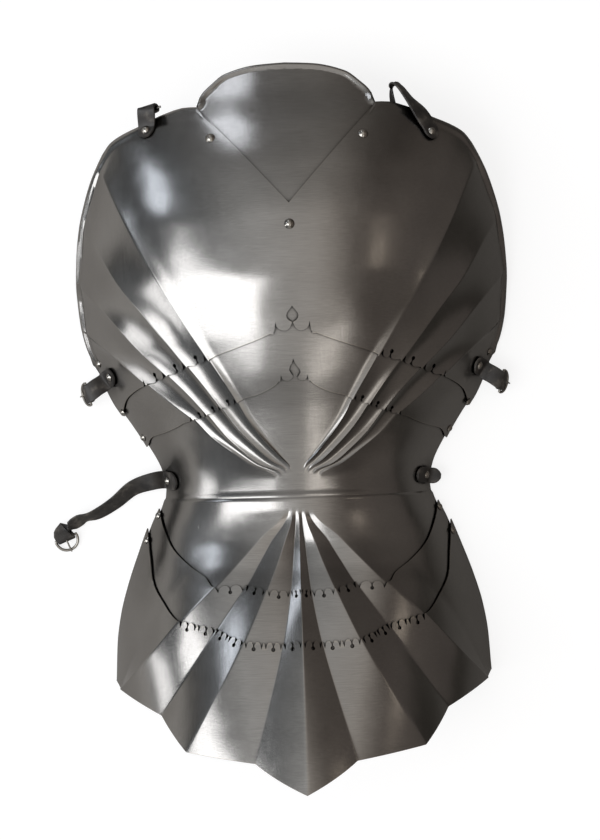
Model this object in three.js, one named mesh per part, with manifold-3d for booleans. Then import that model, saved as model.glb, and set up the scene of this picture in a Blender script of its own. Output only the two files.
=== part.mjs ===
// Backplate of a steel cuirass in the Gothic manner, with its hinged tail of two lames.
// It lies on its side rims, outer face up: +X to the wearer's right hand, +Y to the neck, +Z outwards.
// Millimetres throughout. Every plate is cut from one fan of rays over one body form, so that
// overlapping plates nest.
import * as THREE from 'three';
import Module from 'manifold-3d';

const wasm = await Module();
wasm.setup();

// ---- driving dimensions ----
const SHEET = 1.5;            // steel sheet
const PLAY = 0.8;             // play between overlapping plates
const PITCH = SHEET + PLAY;   // step from one layer of plate to the next
const NECK_PLAY = 0.9;        // further play under the neck notch
const LEATHER = 2.4;          // strap leather
const STRAP_WIDTH = 20;
const FLOOR = 0.6;            // height of the outer rim edge
const ARC_HALF = 66;          // degrees of arc each side of the crown at every cross-section
const ROLL_WIDTH = 8;         // rolled edge of armhole and collar
const ROLL_HEIGHT = 3.2;
const OVERLAP = 22;           // how far a plate runs on beneath its neighbour
const RIVET_HEAD = 4.4;       // radius of a rivet head
const RIVET_SHANK = 1.9;
const RIVET_HOLE = 2.7;
const RIVET_INSET = 4.6;      // of a side rivet from the rim, measured across

// half width of the body form along Y
const HALF_WIDTH = curve([
  [-390, 206], [-300, 205], [-270, 203], [-235, 201], [-203, 196], [-171, 187], [-139, 175.5], [-107, 163],
  [-85, 153], [-70, 149], [-53, 152], [-21, 168], [0, 181], [24, 197], [48, 208], [72, 217], [85, 223],
  [105, 229], [127, 232], [150, 235], [200, 237], [250, 237], [290, 236], [320, 222], [345, 202], [375, 172]]);

// height of its crown along Y
const CROWN = curve([
  [-390, 197], [-372, 192], [-325, 179], [-275, 163], [-225, 147], [-170, 129], [-120, 114], [-90, 106],
  [-78, 104], [-60, 106], [-20, 117], [10, 128], [50, 143], [100, 157], [150, 165], [200, 163], [250, 151],
  [300, 130], [340, 107], [375, 92]]);

// rays of the upper fan: x along Y, from the crown outwards
const UPPER = [
  curve([[-90, 0], [375, 0]]),
  curve([[-90, 2], [-50, 4], [-10, 34], [22, 58], [68, 88], [100, 108], [153, 139], [212, 170], [258, 192],
    [285, 204], [319, 219], [375, 243]]),
  curve([[-90, 4], [-52, 10], [-20, 44], [14, 75], [45, 98], [64, 113], [110, 149], [143, 176], [190, 206],
    [230, 233], [375, 330]]),
  curve([[-90, 6], [-55, 15.5], [-25, 52], [7, 88], [30, 110], [53, 133], [79, 160], [106, 184], [144, 219],
    [170, 243], [375, 430]]),
  curve([[-90, 9], [-58, 22], [-30, 63], [2, 104], [20, 127], [45, 156], [72, 187], [103, 223], [130, 254],
    [375, 530]])];

// rays of the tail fan, in the same order
const LOWER = [
  curve([[-390, 0], [-50, 0]]),
  curve([[-390, 68], [-339, 53.5], [-280, 36], [-221, 20], [-173, 11], [-130, 6], [-88, 2], [-50, 1]]),
  curve([[-390, 152], [-325, 115], [-270, 84], [-220, 57], [-172, 35], [-130, 18], [-88, 4.5], [-50, 2]]),
  curve([[-390, 212], [-294, 143], [-250, 116], [-207, 88], [-164, 57], [-125, 32], [-88, 8], [-50, 3]]),
  curve([[-390, 290], [-275, 187], [-240, 157], [-200, 121], [-161, 81], [-120, 41], [-88, 12], [-50, 4]])];

const FLUTE_HEIGHT = curve([[-90, 0], [-62, 0.3], [-40, 1.1], [0, 2.4], [60, 3.2], [375, 3.4]]);
const FOLD_HEIGHT = curve([[-390, 7.4], [-340, 7], [-220, 4.2], [-170, 2.8], [-90, 0], [-50, 0]]);

// outlines, y across x
const COLLAR_TOP = curve([[0, 368], [30, 366.5], [62, 359], [78, 347], [88, 336], [92, 322]]);
const NECK_NOTCH_TIP = 214;
const NECK_NOTCH_TOP = [90, 319];
const SHOULDER_TOP = curve([[90, 322], [103, 323], [126, 318], [149, 309], [170, 302], [184, 295], [193, 285]]);
const ARMHOLE = curve([[72, 217], [85, 222], [105, 226.5], [127, 229], [150, 230], [180, 228], [211, 223],
  [243, 213], [264, 204], [285, 193], [300, 180]]);
const MAIN_HEM = curve([[0, 97], [18, 88], [41, 79], [59, 73], [80, 66], [88, 62], [112, 56], [135, 47],
  [160, 39], [172, 33], [180, 27], [184, 20], [187, 13], [192, 5]]);
const MID_HEM = curve([[0, 54], [14, 43], [17, 37], [26, 31], [38, 26], [50, 23], [60, 19], [76, 13],
  [91, 7], [108, 2], [116, 0], [124, -4], [140, -10], [155, -14], [160, -18], [163, -24], [170, -28]]);
// outlines of the tail lames against the ray number, where 4 is the outer fold and 5 the side rim
const LAME_1_TOP = curve([[0, -170], [1, -171], [2, -171], [3, -164], [4, -168], [4.2, -158], [4.45, -147],
  [4.7, -131], [4.88, -110], [5, -90]]);
const LAME_2_TOP = curve([[0, -221], [1, -221], [2, -221], [3, -208], [4, -203], [4.15, -199], [4.45, -185],
  [4.7, -167], [4.88, -138], [5, -112]]);
const TAIL_HEM = curve([[0, -370], [1, -339], [2, -325], [3, -294], [4, -275], [4.5, -274], [5, -268]]);

// ---- small mathematics ----

// smooth curve through knots, without overshoot
function curve(knots) {
  const n = knots.length;
  const step = [];
  for (let i = 0; i < n - 1; i += 1) {
    step.push((knots[i + 1][1] - knots[i][1]) / (knots[i + 1][0] - knots[i][0]));
  }
  const slope = [step[0]];
  for (let i = 1; i < n - 1; i += 1) {
    const flat = step[i - 1] * step[i] <= 0;
    slope.push(flat ? 0 : (2 * step[i - 1] * step[i]) / (step[i - 1] + step[i]));
  }
  slope.push(step[n - 2]);
  return (t) => {
    const s = Math.min(Math.max(t, knots[0][0]), knots[n - 1][0]);
    let i = 0;
    while (i < n - 2 && s > knots[i + 1][0]) i += 1;
    const h = knots[i + 1][0] - knots[i][0];
    const r = (s - knots[i][0]) / h;
    const a = (1 + 2 * r) * (1 - r) ** 2;
    const b = r * r * (3 - 2 * r);
    const c = r * (1 - r) ** 2 * h;
    const d = r * r * (r - 1) * h;
    return a * knots[i][1] + b * knots[i + 1][1] + c * slope[i] + d * slope[i + 1];
  };
}

function ramp(from, to, t) {
  const r = Math.min(Math.max((t - from) / (to - from), 0), 1);
  return r * r * (3 - 2 * r);
}

// root of a rising or falling function between two values
function solve(f, low, high) {
  let a = low;
  let b = high;
  const sign = Math.sign(f(a));
  for (let i = 0; i < 48; i += 1) {
    const m = (a + b) / 2;
    if (Math.sign(f(m)) === sign) a = m;
    else b = m;
  }
  return (a + b) / 2;
}

// ---- body form ----

const ARC_SIN = Math.sin((ARC_HALF * Math.PI) / 180);
const ARC_COS = Math.cos((ARC_HALF * Math.PI) / 180);

function height(x, y) {
  const s = Math.min(Math.abs(x / HALF_WIDTH(y)), 1.05) * ARC_SIN;
  return FLOOR + (CROWN(y) * (Math.sqrt(1 - s * s) - ARC_COS)) / (1 - ARC_COS);
}

function normal(x, y) {
  const e = 0.5;
  const dx = (height(x + e, y) - height(x - e, y)) / (2 * e);
  const dy = (height(x, y + e) - height(x, y - e)) / (2 * e);
  return new THREE.Vector3(-dx, -dy, 1).normalize();
}

// x of ray number u (0 crown, 5 side rim) at y
function fan(u, y, inset) {
  const lower = 1 - ramp(-90, -62, y);
  const side = HALF_WIDTH(y) - inset;
  const ray = (k) => (k === 5 ? side : UPPER[k](y) * (1 - lower) + LOWER[k](y) * lower);
  const a = Math.abs(u);
  const k = Math.min(Math.floor(a), 4);
  const x = ray(k) + (ray(k + 1) - ray(k)) * (a - k);
  return Math.sign(u) * x;
}

// flutes above the waist are hollows between sharp ridges; the tail is folded
function relief(u, y) {
  const a = Math.abs(u);
  let flute = 0;
  if (a >= 1 && a <= 4) flute = 1 - Math.sin(Math.PI * (a % 1));
  else if (a < 1) flute = 1 - Math.sin((Math.PI / 2) * Math.min(1, (1 - a) / 0.15));
  else flute = 1 - Math.sin((Math.PI / 2) * Math.min(1, (a - 4) / 0.45));
  let fold = 0;
  if (a <= 4) fold = 1 - 2 * Math.abs(((a + 1) % 2) - 1);
  else fold = Math.max(0, 1 - (a - 4) / 0.45);
  return flute * FLUTE_HEIGHT(y) + fold * FOLD_HEIGHT(y);
}

// ---- solids ----

const columnsSide = [4.15, 4.3, 4.45, 4.6, 4.75, 4.88, 5];
const columnsFlute = [1.25, 1.5, 1.75, 2, 2.25, 2.5, 2.75, 3, 3.25, 3.5, 3.75, 4];
const columnsFold = [0.5, 1, 1.5, 2, 2.5, 3, 3.5, 4];
const bothSides = (half) => [...half.slice().reverse().map((u) => -u), 0, ...half];

// closed solid from rows of outer points and rows of inner points
function sheetSolid(outer, inner) {
  const rows = outer.length;
  const columns = outer[0].length;
  const points = [...outer.flat(), ...inner.flat()];
  const half = rows * columns;
  const index = [];
  const at = (r, c) => r * columns + c;
  const quad = (a, b, c, d) => index.push(a, b, c, a, c, d);
  for (let r = 0; r < rows - 1; r += 1) {
    for (let c = 0; c < columns - 1; c += 1) {
      quad(at(r, c), at(r, c + 1), at(r + 1, c + 1), at(r + 1, c));
      quad(half + at(r, c), half + at(r + 1, c), half + at(r + 1, c + 1), half + at(r, c + 1));
    }
  }
  const rim = [];
  for (let c = 0; c < columns - 1; c += 1) rim.push(at(0, c));
  for (let r = 0; r < rows - 1; r += 1) rim.push(at(r, columns - 1));
  for (let c = columns - 1; c > 0; c -= 1) rim.push(at(rows - 1, c));
  for (let r = rows - 1; r > 0; r -= 1) rim.push(at(r, 0));
  rim.forEach((a, i) => {
    const b = rim[(i + 1) % rim.length];
    quad(half + a, half + b, b, a);
  });
  return toManifold(points, index);
}

function toManifold(points, index) {
  const vertProperties = new Float32Array(points.flatMap((p) => [p.x, p.y, p.z]));
  const mesh = new wasm.Mesh({ numProp: 3, vertProperties, triVerts: new Uint32Array(index) });
  return new wasm.Manifold(mesh);
}

// a plate: layer 0 is outermost; low and high give y along each ray; roll rows are raised at the top end
function plate({ layer, half, rows, low, high, inset = 0, rolled = () => false }) {
  const columns = bothSides(half);
  const outer = [];
  const inner = [];
  for (const row of rows) {
    const above = [];
    const below = [];
    for (const u of columns) {
      const y0 = low(Math.abs(u));
      const y1 = high(Math.abs(u));
      const ended = rolled(Math.abs(u));
      const reach = row.roll === undefined ? (y1 - y0 - ROLL_WIDTH) * row.v : y1 - y0 - ROLL_WIDTH + row.roll;
      const y = y0 + reach;
      const x = fan(u, y, inset);
      const turned = ended && row.roll !== undefined;
      const bead = turned ? ROLL_HEIGHT * Math.sin((Math.PI * 0.8 * row.roll) / ROLL_WIDTH) : 0;
      const n = normal(x, y);
      const base = new THREE.Vector3(x, y, height(x, y));
      above.push(base.clone().addScaledVector(n, relief(u, y) + bead - layer * PITCH));
      below.push(base.clone().addScaledVector(n, relief(u, y) + bead - layer * PITCH - SHEET));
    }
    outer.push(above);
    inner.push(below);
  }
  return sheetSolid(outer, inner);
}

function spread(n) {
  return Array.from({ length: n }, (_, i) => ({ v: i / n }));
}
const rollRows = [{ roll: 0 }, { roll: ROLL_WIDTH / 2 }, { roll: ROLL_WIDTH }];

// a solid of revolution about its own Z
function turned(profile, sides) {
  const points = [];
  const index = [];
  const ring = profile.slice(1, -1);
  points.push(new THREE.Vector3(0, 0, profile[0][1]));
  for (const [r, z] of ring) {
    for (let i = 0; i < sides; i += 1) {
      const a = (2 * Math.PI * i) / sides;
      points.push(new THREE.Vector3(r * Math.cos(a), r * Math.sin(a), z));
    }
  }
  points.push(new THREE.Vector3(0, 0, profile[profile.length - 1][1]));
  const last = points.length - 1;
  const at = (k, i) => 1 + k * sides + (i % sides);
  for (let i = 0; i < sides; i += 1) {
    index.push(0, at(0, i), at(0, i + 1));
    index.push(last, at(ring.length - 1, i + 1), at(ring.length - 1, i));
    for (let k = 0; k < ring.length - 1; k += 1) {
      index.push(at(k, i), at(k + 1, i), at(k + 1, i + 1));
      index.push(at(k, i), at(k + 1, i + 1), at(k, i + 1));
    }
  }
  return toManifold(points, index);
}

function placed(solid, position, axis) {
  const q = new THREE.Quaternion().setFromUnitVectors(new THREE.Vector3(0, 0, 1), axis.clone().normalize());
  const m = new THREE.Matrix4().compose(position, q, new THREE.Vector3(1, 1, 1));
  return solid.transform(m.toArray());
}

const group = new THREE.Group();
const ORIGIN = [15.18, 0.16, 0];   // moves the middle of the footprint to the origin

function add(name, solid, colour, roughness, metalness) {
  const mesh = solid.getMesh();
  const geometry = new THREE.BufferGeometry();
  geometry.setAttribute('position', new THREE.BufferAttribute(new Float32Array(mesh.vertProperties), 3));
  geometry.setIndex(new THREE.BufferAttribute(new Uint32Array(mesh.triVerts), 1));
  geometry.translate(...ORIGIN);
  geometry.computeVertexNormals();
  const material = new THREE.MeshStandardMaterial({ color: colour, roughness, metalness });
  const part = new THREE.Mesh(geometry, material);
  part.name = name;
  group.add(part);
}
const addSteel = (name, solid) => add(name, solid, 0x77716a, 0.3, 1);
const addLeather = (name, solid) => add(name, solid, 0x2b2a27, 0.75, 0);

// ---- rivets ----
// each has a place, the layer its head sits on, and what it passes through
function onForm(x, y, layer) {
  return new THREE.Vector3(x, y, height(x, y)).addScaledVector(normal(x, y), -layer * PITCH);
}

const rivets = [];
const holes = {};

function rivet(name, x, y, layer, through, extra = 0) {
  const position = onForm(x, y, layer);
  const axis = normal(x, y);
  const grip = through.filter((p) => !p.includes('strap')).length;
  const depth = grip * SHEET + (grip - 1) * PLAY + 0.8 + (through.includes('neck_plate') ? NECK_PLAY : 0);
  rivets.push({ name, position, axis, depth, lift: 0.3 + extra });
  for (const piece of through) (holes[piece] ??= []).push({ position, axis });
}

const sideRivets = [
  ['pivot_main', 14, 0, ['back_plate', 'mid_lame']],
  ['pivot_mid', -15, 1, ['mid_lame', 'waist_plate']],
  ['pivot_tail_upper', -97, 1, ['tail_lame_upper', 'waist_plate']],
  ['pivot_tail_lower', -124, 0, ['tail_lame_lower', 'tail_lame_upper']]];
for (const [side, sign] of [['left', -1], ['right', 1]]) {
  for (const [name, y, layer, through] of sideRivets) {
    rivet(`rivet_${name}_${side}`, sign * (HALF_WIDTH(y) - RIVET_INSET), y, layer, through);
  }
  rivet(`rivet_neck_${side}`, sign * 77, 286, 0, ['back_plate', 'neck_plate']);
}
rivet('rivet_neck_centre', 0, 193, 0, ['back_plate', 'neck_plate']);

// ---- straps ----
// a strap is laid over stations of centre point and width direction; its outer face is the given side
function strap(stations, width = STRAP_WIDTH, thickness = LEATHER) {
  const path = stations.map((s) => new THREE.Vector3(...s.at));
  const outer = [];
  const inner = [];
  const face = new THREE.Vector3(0, 0, 1);
  stations.forEach((s, i) => {
    const ahead = path[Math.min(i + 1, path.length - 1)];
    const behind = path[Math.max(i - 1, 0)];
    const along = ahead.clone().sub(behind).normalize();
    const across = new THREE.Vector3(...s.across);
    across.addScaledVector(along, -across.dot(along)).normalize();
    const up = new THREE.Vector3().crossVectors(across, along).normalize();
    if (up.dot(face) < 0) up.negate();
    face.copy(up);
    const w = (s.width ?? width) / 2;
    const top = [];
    const bottom = [];
    for (const t of [-1, 0, 1]) {
      const p = path[i].clone().addScaledVector(across, t * w);
      top.push(p.clone().addScaledVector(up, thickness));
      bottom.push(p);
    }
    outer.push(top);
    inner.push(bottom);
  });
  const flip = (rows) => rows.map((r) => r.slice().reverse());
  const solid = sheetSolid(outer, inner);
  return solid.volume() > 0 ? solid : sheetSolid(flip(outer), flip(inner));
}

// a station resting on the plates at x, y, heading along the surface
function lying(x, y, layer, across, lift = 1.2) {
  const n = normal(x, y);
  const width = new THREE.Vector3(...across);
  width.addScaledVector(n, -width.dot(n));
  return { at: onForm(x, y, layer).addScaledVector(n, lift).toArray(), across: width.toArray() };
}

// round wire swept along a path, closed on itself or with two ends
function wire(path, radius, closed, sides = 6) {
  const points = [];
  const index = [];
  const count = path.length;
  const m = new THREE.Vector3();
  path.forEach((p, i) => {
    const ahead = closed ? path[(i + 1) % count] : path[Math.min(i + 1, count - 1)];
    const behind = closed ? path[(i + count - 1) % count] : path[Math.max(i - 1, 0)];
    const tangent = ahead.clone().sub(behind).normalize();
    if (i === 0) m.set(0.13, 0.21, 0.97).cross(tangent).normalize();
    m.addScaledVector(tangent, -m.dot(tangent)).normalize();
    const n = tangent.clone().cross(m);
    for (let k = 0; k < sides; k += 1) {
      const q = (2 * Math.PI * k) / sides;
      const out = p.clone().addScaledVector(m, radius * Math.cos(q));
      points.push(out.addScaledVector(n, radius * Math.sin(q)));
    }
  });
  const spans = closed ? count : count - 1;
  for (let i = 0; i < spans; i += 1) {
    const j = (i + 1) % count;
    for (let k = 0; k < sides; k += 1) {
      const l = (k + 1) % sides;
      index.push(i * sides + k, i * sides + l, j * sides + l, i * sides + k, j * sides + l, j * sides + k);
    }
  }
  if (!closed) {
    for (let k = 1; k < sides - 1; k += 1) {
      index.push(0, k + 1, k);
      const e = (count - 1) * sides;
      index.push(e, e + k, e + k + 1);
    }
  }
  const solid = toManifold(points, index);
  return solid.volume() > 0 ? solid : toManifold(points, index.slice().reverse());
}

// a buckle: a straight bar closed by a bow, a tongue curled round the bar, and a strap folded round it
const WIRE = 1.5;
const TONGUE = 0.9;
const BUCKLE_BAR = 24;
const BUCKLE_DEPTH = 14;
const BUCKLE_PLAY = 0.4;

function buckle(centre, along, outward) {
  const c = new THREE.Vector3(...centre);
  const a = new THREE.Vector3(...along).normalize();
  const o = new THREE.Vector3(...outward);
  o.addScaledVector(a, -o.dot(a)).normalize();
  const up = new THREE.Vector3().crossVectors(o, a);
  if (up.z < 0) up.negate();
  const from = (x, y, z) => c.clone().addScaledVector(a, x).addScaledVector(o, y).addScaledVector(up, z);
  const bow = [];
  for (let i = 0; i <= 10; i += 1) {
    const t = (Math.PI * i) / 10;
    bow.push(from((-Math.cos(t) * BUCKLE_BAR) / 2, Math.sin(t) ** 0.8 * BUCKLE_DEPTH, 0));
  }
  const curl = WIRE + BUCKLE_PLAY + TONGUE;
  const tongue = [];
  for (let i = 0; i <= 9; i += 1) {
    const t = ((-50 - 24.5 * i) * Math.PI) / 180;
    tongue.push(from(0, curl * Math.cos(t), curl * Math.sin(t)));
  }
  tongue.push(from(0, BUCKLE_DEPTH * 0.5, curl), from(0, BUCKLE_DEPTH + 2, curl));
  const fold = WIRE + BUCKLE_PLAY;
  const turn = [];
  for (const t of [90, 55, 20, -20, -55, -90]) {
    const r = (t * Math.PI) / 180;
    turn.push({ at: from(0, fold * Math.cos(r), fold * Math.sin(r)).toArray(), across: along });
  }
  const lead = { at: from(0, -7, fold + 0.3).toArray(), across: along };
  const tail = { at: from(0, -8.5, -fold - 0.3).toArray(), across: along };
  const slot = wasm.Manifold.cube([2 * TONGUE + 1.3, 15, 14], true).translate([0.07, 2.6, 0.1]);
  const m = new THREE.Matrix4().makeBasis(a, o, a.clone().cross(o)).setPosition(c);
  return {
    frame: wire(bow, WIRE, true),
    tongue: wire(tongue, TONGUE, false),
    bar: wire([from(-13, 0, 0), from(-12, 0, 0), from(12, 0, 0), from(13, 0, 0)], WIRE, false),
    fold: [lead, ...turn, tail],
    slot: slot.transform(m.toArray()),
  };
}

const leather = {};
const steel = {};

// shoulder straps: the left one is folded round a bare bar above the edge, the right one curls
// over and falls back
const shoulderFold = buckle([-142, 319, 92], [1, 0.2, 0.38], [0.1, 0.35, -1]);
steel.shoulder_bar = shoulderFold.bar;
leather.shoulder_strap_left = strap([
  lying(-145, 291, 0, [1, 0.1, 0.45]), lying(-144.5, 303, 0, [1, 0.1, 0.45]),
  ...shoulderFold.fold], 19);
leather.shoulder_strap_right = strap([
  lying(149, 283, 0, [1, 0.5, -0.5], 1.8), lying(145, 295, 0, [1, 0.5, -0.5], 1.8),
  { at: [137, 310, 97], across: [0.8, 0.5, -0.6], width: 17 },
  { at: [126, 325, 94], across: [0.6, 0.3, -1], width: 15 },
  { at: [116, 337, 88], across: [0.3, 0.3, -1], width: 15 },
  { at: [110, 336, 84], across: [0.1, 0.1, -1], width: 15 },
  { at: [113, 328, 81], across: [0.1, 0, -1], width: 15 }]);

// side straps stand out from the rims, each with a buckle hanging from its fold
for (const [side, sign] of [['left', -1], ['right', 1]]) {
  const side_buckle = buckle([sign * 222, 35, 17.5], [sign * 0.25, 1, 0], [sign * 0.5, -0.15, -0.85]);
  steel[`side_buckle_${side}`] = side_buckle.frame;
  steel[`side_tongue_${side}`] = side_buckle.tongue;
  leather[`side_strap_${side}`] = strap([
    lying(sign * 190, 54, 0, [sign * 0.5, 0.85, 0], 1.6),
    lying(sign * 197.8, 51.2, 0, [sign * 0.5, 0.85, 0], 1.8),
    { at: [sign * 204, 46.5, 22.5], across: [sign * 0.5, 0.85, 0] },
    { at: [sign * 212, 41.5, 25.5], across: [sign * 0.4, 0.9, 0] }, ...side_buckle.fold], 19)
    .subtract(side_buckle.slot);
}

// waist straps: a long one on the left with its buckle on the ground, and the stub of another on the right
const waist = buckle([-252.7, -119.2, 5.1], [0.93, 0.37, 0], [0.37, -0.93, -0.2]);
steel.waist_buckle = waist.frame;
steel.waist_tongue = waist.tongue;
leather.waist_strap_left = strap([
  lying(-131, -62, 2, [0.1, 1, 0]), lying(-139, -61, 2, [0, 1, 0]), lying(-145, -60, 2, [0, 1, 0], 1.8),
  { at: [-156, -60.5, 15], across: [-0.2, 1, 0.25] }, { at: [-178, -67, 11], across: [-0.4, 0.8, 0.6] },
  { at: [-198, -82, 9.5], across: [-0.45, 0.55, 0.75] }, { at: [-217, -93, 9.8], across: [-0.6, 0.3, 0.75] },
  { at: [-236, -99, 11.5], across: [-0.9, -0.2, 0.3] }, ...waist.fold], 19).subtract(waist.slot);
leather.waist_strap_right = strap([
  lying(129, -62, 2, [-0.1, 1, 0]), lying(137, -63, 2, [0, 1, 0]), lying(143, -64, 2, [0, 1, 0], 1.8),
  { at: [154, -65, 13], across: [0.2, 1, 0] }], 17);

// rivets through the straps
rivet('rivet_shoulder_left', -144.7, 298, 0, ['back_plate', 'shoulder_strap_left'], 1.2 + LEATHER);
rivet('rivet_shoulder_right', 146.5, 290, 0, ['back_plate', 'shoulder_strap_right'], 1.8 + LEATHER);
rivet('rivet_waist_left', -141, -61, 2, ['waist_plate', 'waist_strap_left'], 1.2 + LEATHER);
rivet('rivet_waist_right', 139, -63, 2, ['waist_plate', 'waist_strap_right'], 1.2 + LEATHER);
for (const [side, sign] of [['left', -1], ['right', 1]]) {
  rivet(`rivet_rim_${side}`, sign * (HALF_WIDTH(67) - RIVET_INSET), 67, 0, ['back_plate']);
  rivet(`rivet_side_${side}`, sign * 193.5, 53, 0, ['back_plate', `side_strap_${side}`], 1.9 + LEATHER);
}

// ---- build ----

const upperLow = (hem, inset) => (u) => solve((y) => y - hem(Math.abs(fan(u, y, inset))), -80, 200);

function mainTop(u) {
  if (u >= 5) return 72;
  const armhole = (y) => fan(u, y, 0) - ARMHOLE(y);
  if (armhole(285) > 0 || u > 1) return solve(armhole, u > 4 ? 60 : 80, 290);
  const [nx, ny] = NECK_NOTCH_TOP;
  const notch = (y) => y - (NECK_NOTCH_TIP + (Math.abs(fan(u, y, 0)) / nx) * (ny - NECK_NOTCH_TIP));
  const shoulder = (y) => y - SHOULDER_TOP(Math.abs(fan(u, y, 0)));
  const y = solve(notch, 150, 368);
  return fan(u, y, 0) <= nx + 0.01 ? y : solve(shoulder, 200, 360);
}

const plates = {};
const halfMain = [0.1, 0.2, 0.3, 0.41, 0.5, 0.6, 0.7, 0.8, 0.88, 0.944, 1, ...columnsFlute, ...columnsSide];
plates.back_plate = plate({
  layer: 0, half: halfMain, low: upperLow(MAIN_HEM, 0), high: mainTop,
  rows: [...spread(10), ...rollRows], rolled: (u) => u > 0.95 && u < 5 });

const halfMid = [0.2, 0.4, 0.6, 0.8, 0.88, 0.944, 1, ...columnsFlute, ...columnsSide];
const mainLow = upperLow(MAIN_HEM, 0);
const midLow = upperLow(MID_HEM, 1.4);
plates.mid_lame = plate({
  layer: 1, half: halfMid, inset: 1.4, low: midLow, rows: [...spread(3), rollRows[0], rollRows[2]],
  high: (u) => mainLow(u) + OVERLAP * 0.75 });

plates.waist_plate = plate({
  layer: 2, half: halfMid, inset: 2.2, low: (u) => LAME_1_TOP(u) - OVERLAP * (u > 4.5 ? 0.9 : 1),
  rows: [...spread(13), rollRows[0], rollRows[2]],
  high: (u) => midLow(u) + OVERLAP });

const halfTail = [...columnsFold, ...columnsSide];
plates.tail_lame_upper = plate({
  layer: 1, half: halfTail, inset: 1.4, low: (u) => LAME_2_TOP(u) - OVERLAP, high: LAME_1_TOP,
  rows: [...spread(3), rollRows[0], rollRows[2]] });
plates.tail_lame_lower = plate({
  layer: 0, half: halfTail, inset: 0, low: TAIL_HEM, high: LAME_2_TOP,
  rows: [...spread(6), rollRows[0], rollRows[2]] });

// the neck plate lies beneath the notch of the back plate and turns outwards at the collar
function neckPlate() {
  const across = 9;
  const up = 8;
  const outer = [];
  const inner = [];
  for (let r = 0; r <= up; r += 1) {
    const top = [];
    const bottom = [];
    for (let c = -across; c <= across; c += 1) {
      const s = Math.abs(c / across);
      const xTop = s * 91;
      const yTop = COLLAR_TOP(xTop);
      const xLow = s * 95;
      const yLow = 181 + s * (300 - 181);
      const t = r === up ? 1 : (r / (up - 1)) * (1 - ROLL_WIDTH / (yTop - yLow + 1e-6) * 0.7);
      const x = Math.sign(c) * (xLow + (xTop - xLow) * t);
      const y = yLow + (yTop - yLow) * t;
      const n = normal(x, y);
      const turnOut = r === up ? 3.6 : 0;
      const base = new THREE.Vector3(x, y, height(x, y));
      top.push(base.clone().addScaledVector(n, turnOut - PITCH - NECK_PLAY));
      bottom.push(base.clone().addScaledVector(n, turnOut - PITCH - NECK_PLAY - SHEET));
    }
    outer.push(top);
    inner.push(bottom);
  }
  return sheetSolid(outer, inner);
}
plates.neck_plate = neckPlate();

// the rivet holes of a piece
function drilled(name, solid) {
  let cut = solid;
  for (const { position, axis } of holes[name] ?? []) {
    const drill = placed(wasm.Manifold.cylinder(24, RIVET_HOLE, RIVET_HOLE, 8, true), position, axis);
    cut = cut.subtract(drill);
  }
  return cut;
}

for (const [name, solid] of Object.entries(plates)) addSteel(name, drilled(name, solid));
for (const [name, solid] of Object.entries(leather)) addLeather(name, drilled(name, solid));
for (const [name, solid] of Object.entries(steel)) addSteel(name, solid);
for (const { name, position, axis, depth, lift } of rivets) {
  const profile = [[0, 2.4], [2.6, 1.9], [RIVET_HEAD, 0], [RIVET_SHANK, 0], [RIVET_SHANK, -depth - lift],
    [3.4, -depth - lift], [3.4, -depth - lift - 1], [0, -depth - lift - 1]];
  addSteel(name, placed(turned(profile, 8), position.clone().addScaledVector(axis, lift), axis));
}

export default group;
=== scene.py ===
# %% [markdown]
# # A steel backplate with a hinged tail
# The piece is the back half of a fluted cuirass. Five plates of thin steel overlap down the back and turn
# on rivets at their ends, a collar plate closes the neck, and worn leather straps hang from the edges. A
# fixed model of the piece is loaded first. Finer pieces are then made in the same place; each one rides on
# its moving body, and the rough solids it stands for are hidden.

# %% Load the fixed model
import math

import bmesh
import bpy
import numpy as np
from mathutils import Matrix, Vector, kdtree


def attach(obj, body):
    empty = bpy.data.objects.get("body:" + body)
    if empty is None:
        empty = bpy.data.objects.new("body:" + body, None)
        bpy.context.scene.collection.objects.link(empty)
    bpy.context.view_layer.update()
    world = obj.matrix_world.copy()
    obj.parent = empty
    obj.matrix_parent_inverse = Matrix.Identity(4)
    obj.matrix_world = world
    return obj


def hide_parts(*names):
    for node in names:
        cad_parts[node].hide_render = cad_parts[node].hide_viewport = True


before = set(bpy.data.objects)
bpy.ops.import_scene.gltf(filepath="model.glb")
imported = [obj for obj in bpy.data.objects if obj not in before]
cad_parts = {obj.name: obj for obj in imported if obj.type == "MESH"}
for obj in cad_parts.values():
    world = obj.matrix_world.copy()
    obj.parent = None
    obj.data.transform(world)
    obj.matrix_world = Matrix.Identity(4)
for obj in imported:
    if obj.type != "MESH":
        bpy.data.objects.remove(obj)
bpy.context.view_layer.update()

# %% [markdown]
# ## Camera
# The plate lies on the floor and is seen from straight above, from head height. A wide lens close by would
# make the middle bulge, so the lens is long. The camera is turned a little, because the plate doesn't lie
# quite square to it.

# %% Camera
MM = 0.001
ORIGIN = np.array([15.18, 0.16, 0.0])     # from the model's origin to the plate's centre line, in mm
EYE_X = 4.3                               # mm from the centre line
EYE_HEIGHT = 1.735                        # m above the floor
CAMERA_TURN = -1.83                       # degrees
camera_data = bpy.data.cameras.new("overhead_camera")
camera_data.lens = 68.57
camera_data.sensor_width = 36
camera = bpy.data.objects.new("overhead_camera", camera_data)
camera.location = ((EYE_X + ORIGIN[0]) * MM, ORIGIN[1] * MM, EYE_HEIGHT)
camera.rotation_euler = (0, 0, math.radians(CAMERA_TURN))
bpy.context.scene.collection.objects.link(camera)
bpy.context.scene.camera = camera
print("camera", tuple(round(v, 3) for v in camera.location))

# %% [markdown]
# ## Numbers that set the shape
# An armourer raises each plate to the same body form so that the plates nest. The form could be sculpted,
# but then the gaps between plates would wander. Here every plate is cut from one form that is written down
# as a few curves: its half width, the height of its crown, and the rays that fan out of the waist. All are
# millimetres.

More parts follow.
